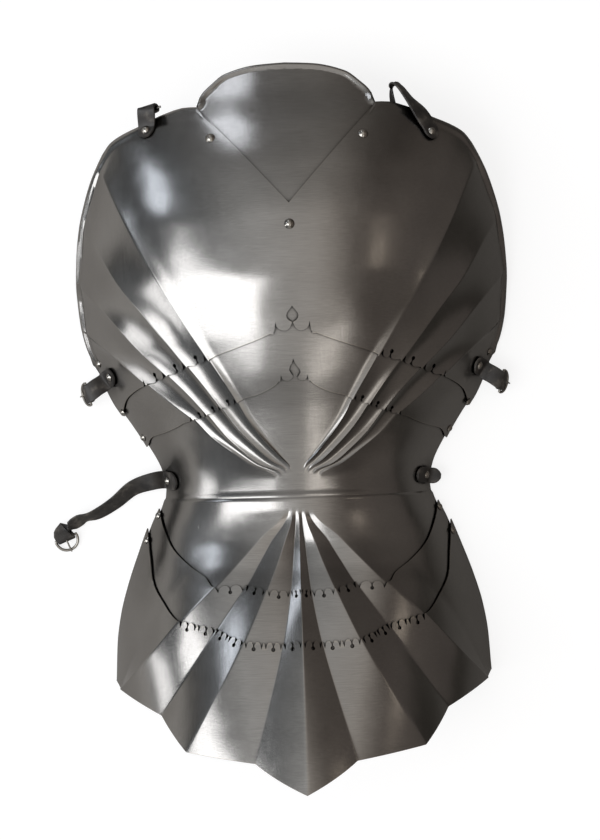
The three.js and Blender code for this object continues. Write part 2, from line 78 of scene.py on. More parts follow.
# %% Smooth curves through knots
def curve(knots):
    """A smooth curve through (t, value) knots, without overshoot."""
    t = np.array([k[0] for k in knots], float)
    v = np.array([k[1] for k in knots], float)
    h = np.diff(t)
    step = np.diff(v) / h
    before, after = step[:-1], step[1:]
    total = np.where(before + after == 0, 1, before + after)
    slope = np.empty(len(t))
    slope[0], slope[-1] = step[0], step[-1]
    slope[1:-1] = np.where(before * after > 0, 2 * before * after / total, 0)

    def value(x):
        s = np.clip(x, t[0], t[-1])
        i = np.clip(np.searchsorted(t, s, side="right") - 1, 0, len(h) - 1)
        r = (s - t[i]) / h[i]
        low = (1 + 2 * r) * (1 - r) ** 2 * v[i] + r * (1 - r) ** 2 * h[i] * slope[i]
        return low + r * r * (3 - 2 * r) * v[i + 1] + r * r * (r - 1) * h[i] * slope[i + 1]

    return value


def ramp(start, end, t):
    r = np.clip((t - start) / (end - start), 0, 1)
    return r * r * (3 - 2 * r)


def solve(f, low, high):
    """Where f changes sign between low and high, for whole arrays at once."""
    a, b = np.array(low, float), np.array(high, float)
    sign = np.sign(f(a))
    for _ in range(40):
        m = (a + b) / 2
        same = np.sign(f(m)) == sign
        a, b = np.where(same, m, a), np.where(same, b, m)
    return (a + b) / 2


print("a curve halfway between two knots", float(curve([(0, 0), (1, 1)])(0.5)))

# %% Body form
SHEET = 1.5                     # thickness of the steel
PITCH = 2.3                     # from one layer of plates to the next
NECK_PLAY = 0.9                 # extra room over the collar plate
FLOOR = 0.6                     # the rims lie this far above the floor
ARC_HALF = math.radians(66)     # half the arc that the form takes up across the body

HALF_WIDTH = curve([
    (-390, 206), (-300, 205), (-270, 203), (-235, 201), (-203, 196), (-171, 187), (-139, 175.5),
    (-107, 163), (-85, 153), (-70, 149), (-53, 152), (-21, 168), (0, 181), (24, 197), (48, 208), (72, 217),
    (85, 223), (105, 229), (127, 232), (150, 235), (200, 237), (250, 237), (290, 236), (320, 222),
    (345, 202), (375, 172)])
CROWN = curve([
    (-390, 197), (-372, 192), (-325, 179), (-275, 163), (-225, 146.3), (-170, 124.8), (-145, 112.6),
    (-120, 104.9), (-98, 103), (-80, 103.4), (-78, 103.4), (-76, 103.9), (-60, 108), (-20, 119),
    (10, 128.5), (50, 143), (100, 157), (150, 165), (200, 163), (250, 151), (300, 130), (340, 107),
    (375, 92)])


def height(x, y):
    s = np.minimum(np.abs(x / HALF_WIDTH(y)), 1.05) * math.sin(ARC_HALF)
    return FLOOR + CROWN(y) * (np.sqrt(1 - s * s) - math.cos(ARC_HALF)) / (1 - math.cos(ARC_HALF))


def normal(x, y):
    e = 0.5
    n = np.stack([
        (height(x - e, y) - height(x + e, y)) / (2 * e),
        (height(x, y - e) - height(x, y + e)) / (2 * e),
        np.ones_like(height(x, y))], -1)
    return n / np.linalg.norm(n, axis=-1, keepdims=True)


print("half width at the arms", float(HALF_WIDTH(200)), "at the waist", float(HALF_WIDTH(-70)), "mm")

# %% Fan of rays
RAY_COUNT = 5
UPPER_RAYS = [curve(knots) for knots in (
    [(-90, 0), (375, 0)],
    [(-90, 14), (-66, 9), (-51, 7), (-36, 19), (-19.5, 33.5), (4, 50.5), (24, 61), (68, 88), (100, 108),
     (153, 139), (212, 170), (258, 192), (285, 204), (319, 219), (375, 243)],
    [(-90, 28), (-66, 16), (-52, 12), (-42, 25.5), (-26, 43), (-7, 60.5), (14, 75.5), (45, 98), (64, 113),
     (110, 149), (143, 176), (190, 206), (230, 233), (375, 330)],
    [(-90, 42), (-68, 20), (-54, 17.5), (-45.4, 37), (-32, 54.5), (-13.6, 74), (8.5, 91.5), (30, 110),
     (53, 133), (79, 160), (106, 184), (144, 219), (170, 243), (375, 430)],
    [(-90, 56), (-70, 28), (-57, 24.5), (-46, 46), (-32, 66), (-15.4, 88), (4.5, 107), (20, 127), (45, 156),
     (72, 187), (103, 223), (130, 254), (375, 530)])]
LOWER_RAYS = [curve(knots) for knots in (
    [(-390, 0), (-50, 0)],
    [(-390, 68), (-339, 53.5), (-280, 36), (-221, 20), (-173, 11), (-130, 6.2), (-92, 3.2), (-50, 14)],
    [(-390, 152), (-325, 115), (-270, 84), (-220, 57), (-172, 35), (-130, 18), (-92, 6.5), (-50, 28)],
    [(-390, 218), (-298, 151), (-250, 118), (-207, 88), (-164, 57), (-125, 32), (-92, 10.5), (-50, 42)],
    [(-390, 290), (-275, 187), (-240, 157), (-200, 121), (-161, 81), (-120, 41), (-92, 15), (-50, 56)])]
RAYS_MEET = (-90, -62)      # below this stretch the lower rays count, above it the upper ones


def fan(u, y, inset=0.0):
    """x of ray number u at y: 0 is the crown, 4 the outer ridge and 5 the side rim."""
    u, y = np.broadcast_arrays(np.asarray(u, float), np.asarray(y, float))
    low = 1 - ramp(*RAYS_MEET, y)
    rays = [upper(y) * (1 - low) + lower(y) * low for upper, lower in zip(UPPER_RAYS, LOWER_RAYS)]
    rays = np.stack(rays + [HALF_WIDTH(y) - inset])
    k = np.minimum(np.floor(np.abs(u)).astype(int), RAY_COUNT - 1)
    start = np.take_along_axis(rays, k[None], 0)[0]
    end = np.take_along_axis(rays, k[None] + 1, 0)[0]
    return np.sign(u) * (start + (end - start) * (np.abs(u) - k))


print("rays at the tail end", fan(range(RAY_COUNT), -360).round(1), "mm from the crown")

# %% [markdown]
# ## Flutes, folds and the waist crease
# Above the waist the sheet is fluted: broad hollows between narrow ridges that run together at the waist.
# Below it the tail is folded like a fan into flat faces, and a crease marks the waist itself. A bump map
# could suggest them but leaves the outline smooth, so they are real heights, added to the form along its
# normal. The ridges are rounded by about a millimetre, because a hammered ridge catches a thin line of
# light there.

# %% Relief of the plates
FLUTE_RISE = curve([(0, 0), (3, 0.5), (8, 1.4), (16, 1.8), (50, 2.0), (110, 2.1), (200, 2.1), (430, 2.0)])
INNER_FLUTE_END, FLUTE_END_STEP = -50.0, -2.8       # each flute further out ends a little lower at the waist
FIRST_FLUTE = 0.12          # share of the first face, from the crown, that the ridge beside it takes up
SIDE_FADE = 0.45            # share of the outermost face over which flutes and folds die away
FLUTE_FULLNESS = 0.85
FOLD_HEIGHT = curve([
    (-390, 5.6), (-340, 5.3), (-280, 4.6), (-220, 3.8), (-170, 3.0), (-130, 2.1), (-100, 0.9), (-91, 0),
    (-50, 0)])
RIDGE_ROUNDING = 0.07
FOLD_ROUNDING = 0.0012
CREASE_DEPTH = 0.9
CREASE_ABOVE, CREASE_BELOW = 5.0, 2.5
WAIST_Y = -78.5


def rounded(t, radius):
    return np.sqrt(t * t + radius * radius) - radius


def relief(u, y, flute_share=1.0):
    a = np.abs(u)
    wave = np.where(a < 1, np.sin(np.pi / 2 * np.minimum(1, (1 - a) / FIRST_FLUTE)), np.sin(np.pi * (a % 1)))
    wave = np.where(a > 4, np.sin(np.pi / 2 * np.minimum(1, (a - 4) / SIDE_FADE)), wave)
    flute = 1 - rounded(wave, RIDGE_ROUNDING) ** FLUTE_FULLNESS
    fold = 1 - 2 / np.pi * np.arccos((1 - FOLD_ROUNDING) * np.cos(np.pi * a))
    fold = np.where(a > 4, np.maximum(0, 1 - (a - 4) / SIDE_FADE), fold)
    reach = np.where(y > WAIST_Y, CREASE_ABOVE, CREASE_BELOW)
    crease = -CREASE_DEPTH * np.maximum(0, 1 - np.abs(y - WAIST_Y) / reach)
    flute_height = FLUTE_RISE(y - INNER_FLUTE_END - FLUTE_END_STEP * (np.clip(a, 1, 4) - 1)) * flute_share
    return flute * flute_height + fold * FOLD_HEIGHT(y) + crease


print("ridge height", float(FLUTE_RISE(200)), "fold height at the tail end", float(FOLD_HEIGHT(-360)), "mm")

# %% [markdown]
# ## Outlines of the plates
# A plate's edges are what the shears cut: hems, armholes, shoulders and a V notch for the neck. They could
# be drawn as curves and cut with a boolean. Here the grid is made to end on them, which keeps its faces
# even. The knots are (x, y) in millimetres, but the tail's edges go by ray number, because they turn at
# every fold.

# %% Outlines of the plates
COLLAR_TOP = curve([(0, 368), (30, 366.5), (62, 359), (78, 347), (88, 336), (92, 322)])
NOTCH_TIP = 214
NOTCH_TOP = (90, 319)
SHOULDER_TOP = curve([(90, 322), (103, 323), (126, 318), (149, 309), (170, 302), (184, 295), (193, 285)])
ARMHOLE_FOOT = 72
ARMHOLE = curve([
    (72, 217), (85, 222), (105, 226.5), (127, 229), (150, 230), (180, 228), (211, 223), (243, 213),
    (264, 204), (285, 193), (300, 180)])
MAIN_HEM = curve([
    (0, 97), (18, 88), (41, 79), (59, 73), (80, 66), (88, 62), (112, 56), (135, 47), (160, 39), (172, 33),
    (180, 27), (184, 20), (187, 13), (192, 5)])
MID_HEM = curve([
    (0, 54), (14, 43), (17, 37), (26, 31), (38, 26), (50, 23), (60, 19), (76, 13), (91, 7), (108, 2),
    (116, 0), (124, -4), (140, -10), (155, -14), (160, -18), (163, -24), (170, -28)])
LAME_1_TOP = curve([
    (0, -170), (1, -171), (2, -171), (3, -164), (4, -168), (4.2, -158), (4.45, -147), (4.7, -131),
    (4.88, -110), (5, -90)])
LAME_2_TOP = curve([
    (0, -221), (1, -221), (2, -221), (3, -208), (4, -203), (4.15, -199), (4.45, -185), (4.7, -167),
    (4.88, -138), (5, -112)])
TAIL_POINTS = [(0, -363), (1, -333.5), (2, -328), (3, -298), (4, -281), (4.5, -281), (5, -276)]


def between(f, u, low, high):
    """The y between low and high where f changes sign, for every ray number in u."""
    return solve(f, np.full_like(u, low), np.full_like(u, high))


def hem_along(hem, inset):
    """The hem's y as a function of ray number."""
    return lambda u: between(lambda y: y - hem(np.abs(fan(u, y, inset))), u, -80, 200)


def main_top(u):
    """The back plate's upper edge by ray number: the notch, then the shoulder, then the armhole."""
    by_arm = between(lambda y: fan(u, y) - ARMHOLE(y), u, np.where(u > 4, 60.0, 80.0), 290)
    rise = (NOTCH_TOP[1] - NOTCH_TIP) / NOTCH_TOP[0]
    by_notch = between(lambda y: y - NOTCH_TIP - rise * np.abs(fan(u, y)), u, 150, 368)
    by_shoulder = between(lambda y: y - SHOULDER_TOP(np.abs(fan(u, y))), u, 200, 360)
    top = np.where(fan(u, by_notch) <= NOTCH_TOP[0] + 0.01, by_notch, by_shoulder)
    at_arm = (fan(u, np.full_like(u, 285)) > ARMHOLE(285)) | (u > 1)
    return np.where(u >= RAY_COUNT, ARMHOLE_FOOT, np.where(at_arm, by_arm, top))


print("tops of the back plate along rays 0 to 4", main_top(np.arange(5.0)).round(1))

# %% [markdown]
# ## Cutting a plate from the form
# A plate could be modelled by hand and thickened with a modifier. Making its outer and inner faces from the
# same formula is better here, because neighbouring plates then keep an even gap all the way round. The
# grid's columns follow the rays, so every ridge and every fold has a column of points of its own. Rows lie
# close together near the edges, where the steel is rolled or cut into lobes.

# %% Grid of a plate
def mirrored(half):
    half = np.array(half)
    return np.concatenate([-half[::-1], [0.0], half])


BETWEEN_RIDGES = [0.02, 0.05, 0.09, 0.14, 0.22, 0.3, 0.4, 0.5, 0.6, 0.7, 0.78, 0.86, 0.91, 0.95, 0.98, 1.0]
CENTRE = [0.01, 0.025, 0.05, 0.08, 0.11, 0.15, 0.19, 0.23, 0.27, 0.31, 0.35, 0.39, 0.405, 0.411, 0.417,
          0.44, 0.48, 0.52, 0.56, 0.6, 0.64, 0.68, 0.72, 0.76, 0.8, 0.83, 0.85, 0.87, 0.89, 0.91, 0.93,
          0.944, 0.955, 0.968, 0.98, 0.99, 1.0]
SIDE = [0.01, 0.025, 0.05, 0.08, 0.12, 0.16, 0.2, 0.25, 0.3, 0.35, 0.4, 0.45, 0.5, 0.56, 0.62, 0.68, 0.74,
        0.8, 0.85, 0.9, 0.94, 0.97, 1.0]
COLUMNS = mirrored(CENTRE + [k + f for k in (1, 2, 3) for f in BETWEEN_RIDGES] + [4 + f for f in SIDE])
NEAR_EDGE = np.array([0, 0.8, 1.6, 2.6, 3.6, 4.8, 6, 7.4, 9, 11, 13.5])


def grid_rows(low, high, middle, close_low=True, close_high=True, reach=1.0):
    """y of every grid point, from the lower edge to the upper one, close together near the edges."""
    offsets_low = NEAR_EDGE * reach if close_low else np.array([0.0])
    offsets_high = NEAR_EDGE * reach if close_high else np.array([0.0])
    span = (high - low - offsets_low[-1] - offsets_high[-1])
    rows = [low + o for o in offsets_low]
    rows += [low + offsets_low[-1] + span * (i + 1) / (middle + 1) for i in range(middle)]
    rows += [high - o for o in offsets_high[::-1]]
    return np.stack(rows)


def outer_inner(u, y, layer, inset, extra=0.0, flute_share=1.0):
    """Points of the outer and inner face for grids of ray number and y."""
    x = fan(u, y, inset)
    n = normal(x, y)
    base = np.stack([x, y, height(x, y)], -1)
    lift = (relief(u, y, flute_share) + extra - layer * PITCH)[..., None]
    return base + n * lift, base + n * (lift - SHEET)


print("grid columns", len(COLUMNS))

# %% Mesh from two faces
def border(rows, columns):
    return ([(0, c) for c in range(columns - 1)] + [(r, columns - 1) for r in range(rows - 1)]
            + [(rows - 1, c) for c in range(columns - 1, 0, -1)] + [(r, 0) for r in range(rows - 1, 0, -1)])


def new_object(name, points, faces, material, smooth_angle=30):
    """An object in metres from points in millimetres on the centre line's own axes."""
    mesh = bpy.data.meshes.new(name)
    mesh.from_pydata(((np.asarray(points) + ORIGIN) * MM).tolist(), [], faces)
    mesh.validate()
    mesh.polygons.foreach_set("use_smooth", [True] * len(mesh.polygons))
    mesh.set_sharp_from_angle(angle=math.radians(smooth_angle))
    mesh.materials.append(material)
    made = bpy.data.objects.new(name, mesh)
    bpy.context.scene.collection.objects.link(made)
    return made


def sheet_faces(rows, columns):
    """Faces of a closed sheet: outer grid, inner grid, and a rim of three rings."""
    half = rows * columns
    at = lambda r, c: r * columns + c
    faces = []
    for r in range(rows - 1):
        for c in range(columns - 1):
            quad = (at(r, c), at(r, c + 1), at(r + 1, c + 1), at(r + 1, c))
            faces.append(quad)
            faces.append(tuple(half + i for i in reversed(quad)))
    ring = [at(r, c) for r, c in border(rows, columns)]
    for i, a in enumerate(ring):
        j = (i + 1) % len(ring)
        b = ring[j]
        faces.append((a, 2 * half + i, 2 * half + j, b))
        faces.append((2 * half + i, half + a, half + b, 2 * half + j))
    return faces


def sheet_points(outer, inner, round_edge=0.35):
    """Points of both grids and of the middle ring of the rim, which stands out a little to round the edge."""
    rows, columns = outer.shape[:2]
    middle = []
    for r, c in border(rows, columns):
        inward = outer[min(max(r, 1), rows - 2), min(max(c, 1), columns - 2)]
        away = outer[r, c] - inward
        away /= max(np.linalg.norm(away), 1e-6)
        middle.append((outer[r, c] + inner[r, c]) / 2 + away * round_edge)
    return np.concatenate([outer.reshape(-1, 3), inner.reshape(-1, 3), np.array(middle)])


print("a sheet of 3 by 4 points has", len(sheet_faces(3, 4)), "faces")

# %% [markdown]
# ## Steel
# The plates are mild steel sheet, hammered to shape, ground, and polished with fine grit. What the eye sees
# is a dark mirror: soft streaks of grinding and shallow waves left by the hammer. A painted grey can't do
# this, so the material is a full metal that takes its greys from what it reflects. Its edges are rubbed a
# little brighter and carry a painted highlight, and painted shade darkens it where one plate slips under the
# next, in holes and in creases. Grinding lines are really 0.05 mm apart, too fine to show, so they are drawn
# about ten times coarser.

# %% Colours and nodes
def linear(hex_colour):
    """An sRGB hex colour as linear RGBA."""
    parts = [int(hex_colour[i:i + 2], 16) / 255 for i in (1, 3, 5)]
    return [p / 12.92 if p <= 0.04045 else ((p + 0.055) / 1.055) ** 2.4 for p in parts] + [1.0]


def add_node(tree, kind, settings=None, values=None, links=None):
    """Add a node with its settings, the values of its inputs, and links into its inputs."""
    made = tree.nodes.new(kind)
    for key, value in (settings or {}).items():
        setattr(made, key, value)
    for key, value in (values or {}).items():
        made.inputs[key].default_value = value
    for key, source in (links or {}).items():
        tree.links.new(source, made.inputs[key])
    return made


def fill_ramp(ramp_node, stops):
    """Set a colour ramp's stops from (position, hex colour) pairs."""
    elements = ramp_node.color_ramp.elements
    while len(elements) > len(stops):
        elements.remove(elements[-1])
    while len(elements) < len(stops):
        elements.new(1.0)
    for element, (position, colour) in zip(elements, stops):
        element.position = position
        element.color = linear(colour)
    return ramp_node


def new_material(name):
    material = bpy.data.materials.new(name)
    material.use_nodes = True
    material.node_tree.nodes.clear()
    return material, material.node_tree


print("mid grey #808080 is", round(linear("#808080")[0], 3), "in linear light")

# %% Marks on ground steel
HAMMER_WAVE, POLISH_PATCH, GRIND_LINE = 0.045, 0.07, 0.0006      # sizes in metres
EDGE_RUB_AND_HIGHLIGHT = 1.0                                                   # mm from an edge to where the rubbing and the painted highlight end
PAINTED_SHADE_REACH = 0.009                                              # m: how far the painted shade reaches under a neighbouring plate
# The lighter colour is rubbed steel with a painted highlight, laid along the edges; the near-black one is
# painted shade, laid where other surfaces are close.
RUBBED_EDGE_WITH_HIGHLIGHT, PAINTED_GAP_SHADE = "#aaa69f", "#0c0b0a"


def steel_marks(tree):
    """Marks of polishing, grinding and use: patches, two sets of lines, and rubbed edges with a painted
    highlight.
    """
    place = add_node(tree, "ShaderNodeTexCoord").outputs["Object"]
    patch = add_node(tree, "ShaderNodeTexNoise", values={"Scale": 1 / POLISH_PATCH, "Detail": 4.0},
                     links={"Vector": place}).outputs["Fac"]
    along = add_node(tree, "ShaderNodeMapping", values={"Scale": (0.03, 1.0, 0.3)}, links={"Vector": place})
    lines = add_node(tree, "ShaderNodeTexNoise", values={"Scale": 1 / GRIND_LINE, "Detail": 3.0},
                     links={"Vector": along.outputs[0]}).outputs["Fac"]
    steep = add_node(tree, "ShaderNodeMapping", values={"Scale": (1.0, 0.05, 0.1), "Rotation": (0, 0, 0.5)},
                     links={"Vector": place})
    cross = add_node(tree, "ShaderNodeTexNoise", values={"Scale": 0.6 / GRIND_LINE, "Detail": 2.0},
                     links={"Vector": steep.outputs[0]}).outputs["Fac"]
    edge = add_node(tree, "ShaderNodeAttribute", settings={"attribute_name": "edge_mm"}).outputs["Fac"]
    # Near an edge the colour turns to rubbed steel with a painted highlight.
    rubbed_and_highlit = add_node(tree, "ShaderNodeMapRange", settings={"interpolation_type": "SMOOTHSTEP"},
                      values={"From Min": 0.0, "From Max": EDGE_RUB_AND_HIGHLIGHT, "To Min": 1.0, "To Max": 0.0},
                      links={"Value": edge}).outputs["Result"]
    return place, patch, lines, cross, rubbed_and_highlit


print("hammer waves", HAMMER_WAVE / MM, "mm, grinding lines", GRIND_LINE / MM, "mm")

# %% Polished mild steel
def steel_colour(tree, dark, bright, patch, lines, rubbed_and_highlit):
    """Darker and brighter patches, rubbed edges with a painted highlight, and painted shade near other
    surfaces.
    """
    tone = add_node(tree, "ShaderNodeMath", settings={"operation": "MULTIPLY_ADD"},
                    values={1: 0.45, 2: 0.0}, links={0: lines})
    tone = add_node(tree, "ShaderNodeMath", settings={"operation": "MULTIPLY_ADD"}, values={1: 0.55},
                    links={0: patch, 2: tone.outputs[0]})
    colour = fill_ramp(add_node(tree, "ShaderNodeValToRGB", links={"Fac": tone.outputs[0]}),
                       [(0.32, dark), (0.68, bright)])
    # Rubbed steel with a painted highlight along the edges.
    edged = add_node(tree, "ShaderNodeMix", settings={"data_type": "RGBA"},
                     values={7: linear(RUBBED_EDGE_WITH_HIGHLIGHT)}, links={0: rubbed_and_highlit, 6: colour.outputs["Color"]})
    # Painted shade: the closer other surfaces are, in the gaps under the next plate, in holes and in creases,
    # the more the colour turns to near-black.
    nearby = add_node(tree, "ShaderNodeAmbientOcclusion", settings={"samples": 6},
                      values={"Distance": PAINTED_SHADE_REACH})
    clear_of_painted_shade = add_node(tree, "ShaderNodeMapRange", settings={"interpolation_type": "SMOOTHSTEP"},
                        values={"From Min": 0.42, "From Max": 0.9}, links={"Value": nearby.outputs["AO"]})
    return add_node(tree, "ShaderNodeMix", settings={"data_type": "RGBA"}, values={6: linear(PAINTED_GAP_SHADE)},
                    links={0: clear_of_painted_shade.outputs["Result"], 7: edged.outputs[2]}).outputs[2]


def polished_steel(name, dark, bright, smooth, dull, wave_depth):
    """Ground and polished mild steel, from its two tones and its roughness where smooth and where dull."""
    material, tree = new_material(name)
    place, patch, lines, cross, rubbed_and_highlit = steel_marks(tree)
    gloss = add_node(tree, "ShaderNodeMapRange", values={"From Min": 0.3, "From Max": 0.7, "To Min": smooth,
                     "To Max": dull}, links={"Value": patch}).outputs["Result"]
    gloss = add_node(tree, "ShaderNodeMath", settings={"operation": "MULTIPLY_ADD"}, values={1: 0.10},
                     links={0: cross, 2: gloss}).outputs[0]
    hammer = add_node(tree, "ShaderNodeTexNoise", values={"Scale": 1 / HAMMER_WAVE, "Detail": 1.0},
                      links={"Vector": place}).outputs["Fac"]
    waves = add_node(tree, "ShaderNodeBump", values={"Strength": 1.0, "Distance": wave_depth},
                     links={"Height": hammer})
    ground = add_node(tree, "ShaderNodeBump", values={"Strength": 0.12, "Distance": 0.0002},
                      links={"Height": lines, "Normal": waves.outputs[0]})
    crossed = add_node(tree, "ShaderNodeBump", values={"Strength": 0.06, "Distance": 0.0002},
                       links={"Height": cross, "Normal": ground.outputs[0]})
    steel = add_node(tree, "ShaderNodeBsdfPrincipled", values={"Metallic": 1.0},
                     links={"Base Color": steel_colour(tree, dark, bright, patch, lines, rubbed_and_highlit),
                            "Roughness": gloss, "Normal": crossed.outputs[0]})
    add_node(tree, "ShaderNodeOutputMaterial", links={"Surface": steel.outputs[0]})
    return material


plate_steel = polished_steel("polished_mild_steel", "#8f8d8a", "#a5a3a0", 0.12, 0.2, 0.0005)
rivet_steel = polished_steel("burnished_steel_rivets", "#b0aca6", "#cac6bf", 0.12, 0.2, 0.0)
blackened_iron = polished_steel("blackened_iron_wire", "#57534f", "#76726c", 0.28, 0.4, 0.0)
print("materials", [m.name for m in bpy.data.materials])

# %% [markdown]
# ## Leather
# The straps are vegetable-tanned cow leather, dyed black and worn grey where it bends. Its pebbled grain
# has cells of about 1 mm. Pebbles could be raised in the mesh, but at that size only the light on them
# shows, so a cell pattern bumps the surface and a slow noise gives the wear.

# %% Worn black strap leather
PEBBLE, WORN_PATCH = 0.0012, 0.011      # sizes in metres


def strap_leather():
    material, tree = new_material("worn_black_leather")
    place = add_node(tree, "ShaderNodeTexCoord").outputs["Object"]
    grain = add_node(tree, "ShaderNodeTexVoronoi", settings={"feature": "SMOOTH_F1"},
                     values={"Scale": 1 / PEBBLE, "Smoothness": 0.4},
                     links={"Vector": place}).outputs["Distance"]
    wear = add_node(tree, "ShaderNodeTexNoise", values={"Scale": 1 / WORN_PATCH, "Detail": 5.0},
                    links={"Vector": place}).outputs["Fac"]
    colour = fill_ramp(add_node(tree, "ShaderNodeValToRGB", links={"Fac": wear}),
                       [(0.35, "#232120"), (0.55, "#35322f"), (0.72, "#625d57")])
    gloss = add_node(tree, "ShaderNodeMapRange", values={"To Min": 0.34, "To Max": 0.6},
                     links={"Value": wear})
    creases = add_node(tree, "ShaderNodeBump", values={"Strength": 0.5, "Distance": 0.0004},
                       links={"Height": wear})
    pebbled = add_node(tree, "ShaderNodeBump", values={"Strength": 0.45, "Distance": 0.0003},
                       links={"Height": grain, "Normal": creases.outputs[0]})
    leather = add_node(tree, "ShaderNodeBsdfPrincipled", values={"IOR": 1.5},
                       links={"Base Color": colour.outputs["Color"], "Roughness": gloss.outputs["Result"],
                              "Normal": pebbled.outputs[0]})
    add_node(tree, "ShaderNodeOutputMaterial", links={"Surface": leather.outputs[0]})
    return material


leather = strap_leather()
print("leather nodes", len(leather.node_tree.nodes))

# %% [markdown]
# ## Lobed edges
# The edges of the lames are filed into small lobes, each pair parted by a keyhole: a drilled hole with a
# saw slit. At every ridge the steel is left as a pointed tooth beside a V cut. The pattern is drawn once as
# an outline of what the file takes away. That outline is laid over each face between two ridges, made into
# a thick cutter, and subtracted. Modelling the lobes into the grid itself would need far more points.

# %% Outline taken away between two teeth
SAW_SLIT = 1.5


def arc_points(centre, radius, start, end, count=14):
    angles = np.radians(np.linspace(start, end, count))
    return [(centre[0] + radius * math.cos(a), centre[1] + radius * math.sin(a)) for a in angles]


def lobes_outline(width, depth, hole, notches):
    """(along, into the plate) points in mm, from tooth to tooth; notches lists the ends with a V cut."""
    middle = width / 2
    slit = SAW_SLIT / 2
    hole_y = depth * 0.92
    dip = math.sqrt(hole * hole - slit * slit)
    angle = math.degrees(math.asin(slit / hole))
    left = [(0.0, -0.7), (0.05 * width, 1.2)]
    if "start" in notches:
        left = [(0.0, -0.7), (0.04 * width, 1.6), (0.11 * width, depth * 0.95), (0.17 * width, 1.6)]
    left += [(0.22 * width, 0.0), (0.27 * width, -0.6), (0.34 * width, -0.8), (0.41 * width, -0.3)]
    left += [(middle - 1.7, 0.9), (middle - slit, 2.2), (middle - slit, hole_y - dip)]
    round_hole = arc_points((middle, hole_y), hole, 270 - angle, -90 + angle)
    right = [(middle + slit, hole_y - dip), (middle + slit, 2.2), (middle + 1.7, 0.9)]
    right += [(0.59 * width, -0.3), (0.66 * width, -0.8), (0.73 * width, -0.6), (0.78 * width, 0.0)]
    if "end" in notches:
        right += [(0.83 * width, 1.6), (0.89 * width, depth * 0.95), (0.96 * width, 1.6)]
    else:
        right += [(0.95 * width, 1.2)]
    right += [(width, -0.7)]
    outside = [(width + 1.5, -2.6), (width + 1.5, -9.0), (-1.5, -9.0), (-1.5, -2.6)]
    return left + round_hole[1:-1] + right + outside


print("points in a lobed outline", len(lobes_outline(40, 7.2, 2.3, ("start",))))

# %% Cutters laid on a plate
def prism(outline, corner, along, into, thick=8.0):
    """A closed cutter: an outline in a plane, made thick both ways. It is returned as points and faces."""
    out = np.cross(along, into)
    flat = np.array([corner + along * a + into * b for a, b in outline])
    count = len(outline)
    points = np.concatenate([flat - out * thick, flat + out * thick])
    faces = [tuple(reversed(range(count))), tuple(range(count, 2 * count))]
    faces += [(i, (i + 1) % count, count + (i + 1) % count, count + i) for i in range(count)]
    return points, faces, flat


def unit(v):
    return np.asarray(v, float) / np.linalg.norm(v)


def on_plate(u, y, layer, inset):
    return outer_inner(np.array([[float(u)]]), np.array([[float(y)]]), layer, inset)[0][0, 0]


def edge_cutter(start, end, layer, inset, inward, depth, hole, notches=("start",)):
    """A lobed cutter between two (u, y) places on the edge; inward is the sign of y into the plate."""
    a, b = on_plate(*start, layer, inset), on_plate(*end, layer, inset)
    along = unit(b - a)
    mid_u, mid_y = (start[0] + end[0]) / 2, (start[1] + end[1]) / 2
    into = on_plate(mid_u, mid_y + 9 * inward, layer, inset) - on_plate(mid_u, mid_y, layer, inset)
    into = unit(into - along * np.dot(into, along))
    return prism(lobes_outline(np.linalg.norm(b - a), depth, hole, notches), a, along, into)


print("middle of the back plate", on_plate(0, 150, 0, 0.0).round(1), "mm")

# %% Cutting
SMOOTH_ANGLE = math.radians(30)


def cut(piece, cutters):
    """Subtract every cutter from the piece and give it the finished mesh."""
    tools = []
    for points, faces, _ in cutters:
        mesh = bpy.data.meshes.new("cutter")
        mesh.from_pydata(((points + ORIGIN) * MM).tolist(), [], faces)
        tool = bpy.data.objects.new("cutter", mesh)
        bpy.context.scene.collection.objects.link(tool)
        volume = sum(p.center.dot(p.normal) * p.area for p in mesh.polygons)
        if volume < 0:
            mesh.flip_normals()
        modifier = piece.modifiers.new("cut", "BOOLEAN")
        modifier.operation = "DIFFERENCE"
        modifier.solver = "MANIFOLD"
        modifier.object = tool
        tools.append(tool)
    depsgraph = bpy.context.evaluated_depsgraph_get()
    finished = bpy.data.meshes.new_from_object(piece.evaluated_get(depsgraph))
    piece.modifiers.clear()
    before = len(piece.data.polygons)
    piece.data = finished
    for tool in tools:
        bpy.data.objects.remove(tool)
    finished.polygons.foreach_set("use_smooth", [True] * len(finished.polygons))
    finished.set_sharp_from_angle(angle=SMOOTH_ANGLE)
    print(piece.name, "faces before cutting", before, "after", len(finished.polygons))


def merge_close(piece, nearest=0.05):
    """Merge points that nearly touch, where the columns run together at the waist."""
    loose = bmesh.new()
    loose.from_mesh(piece.data)
    bmesh.ops.remove_doubles(loose, verts=loose.verts, dist=nearest * MM)
    loose.to_mesh(piece.data)
    loose.free()
    piece.data.set_sharp_from_angle(angle=SMOOTH_ANGLE)


def note_edges(piece, edge_points, furthest=12.0):
    """Store each point's distance to the plate's edge, in mm, for the rubbed edges and their painted
    highlight.
    """
    tree = kdtree.KDTree(len(edge_points))
    for i, p in enumerate(edge_points):
        tree.insert((np.asarray(p) + ORIGIN) * MM, i)
    tree.balance()
    distance = piece.data.attributes.new("edge_mm", "FLOAT", "POINT")
    values = [min(tree.find(v.co)[2] / MM, furthest) for v in piece.data.vertices]
    distance.data.foreach_set("value", values)


# %% Finishing a plate
def between_points(line, count):
    """Points along a line of points, count to each step."""
    return [a + (b - a) * t for a, b in zip(line[:-1], line[1:]) for t in np.linspace(0, 1, count)]


def stand_in(piece, body, nodes):
    """The piece rides on a body and stands for its rough solids, which are hidden."""
    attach(piece, body)
    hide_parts(*nodes)


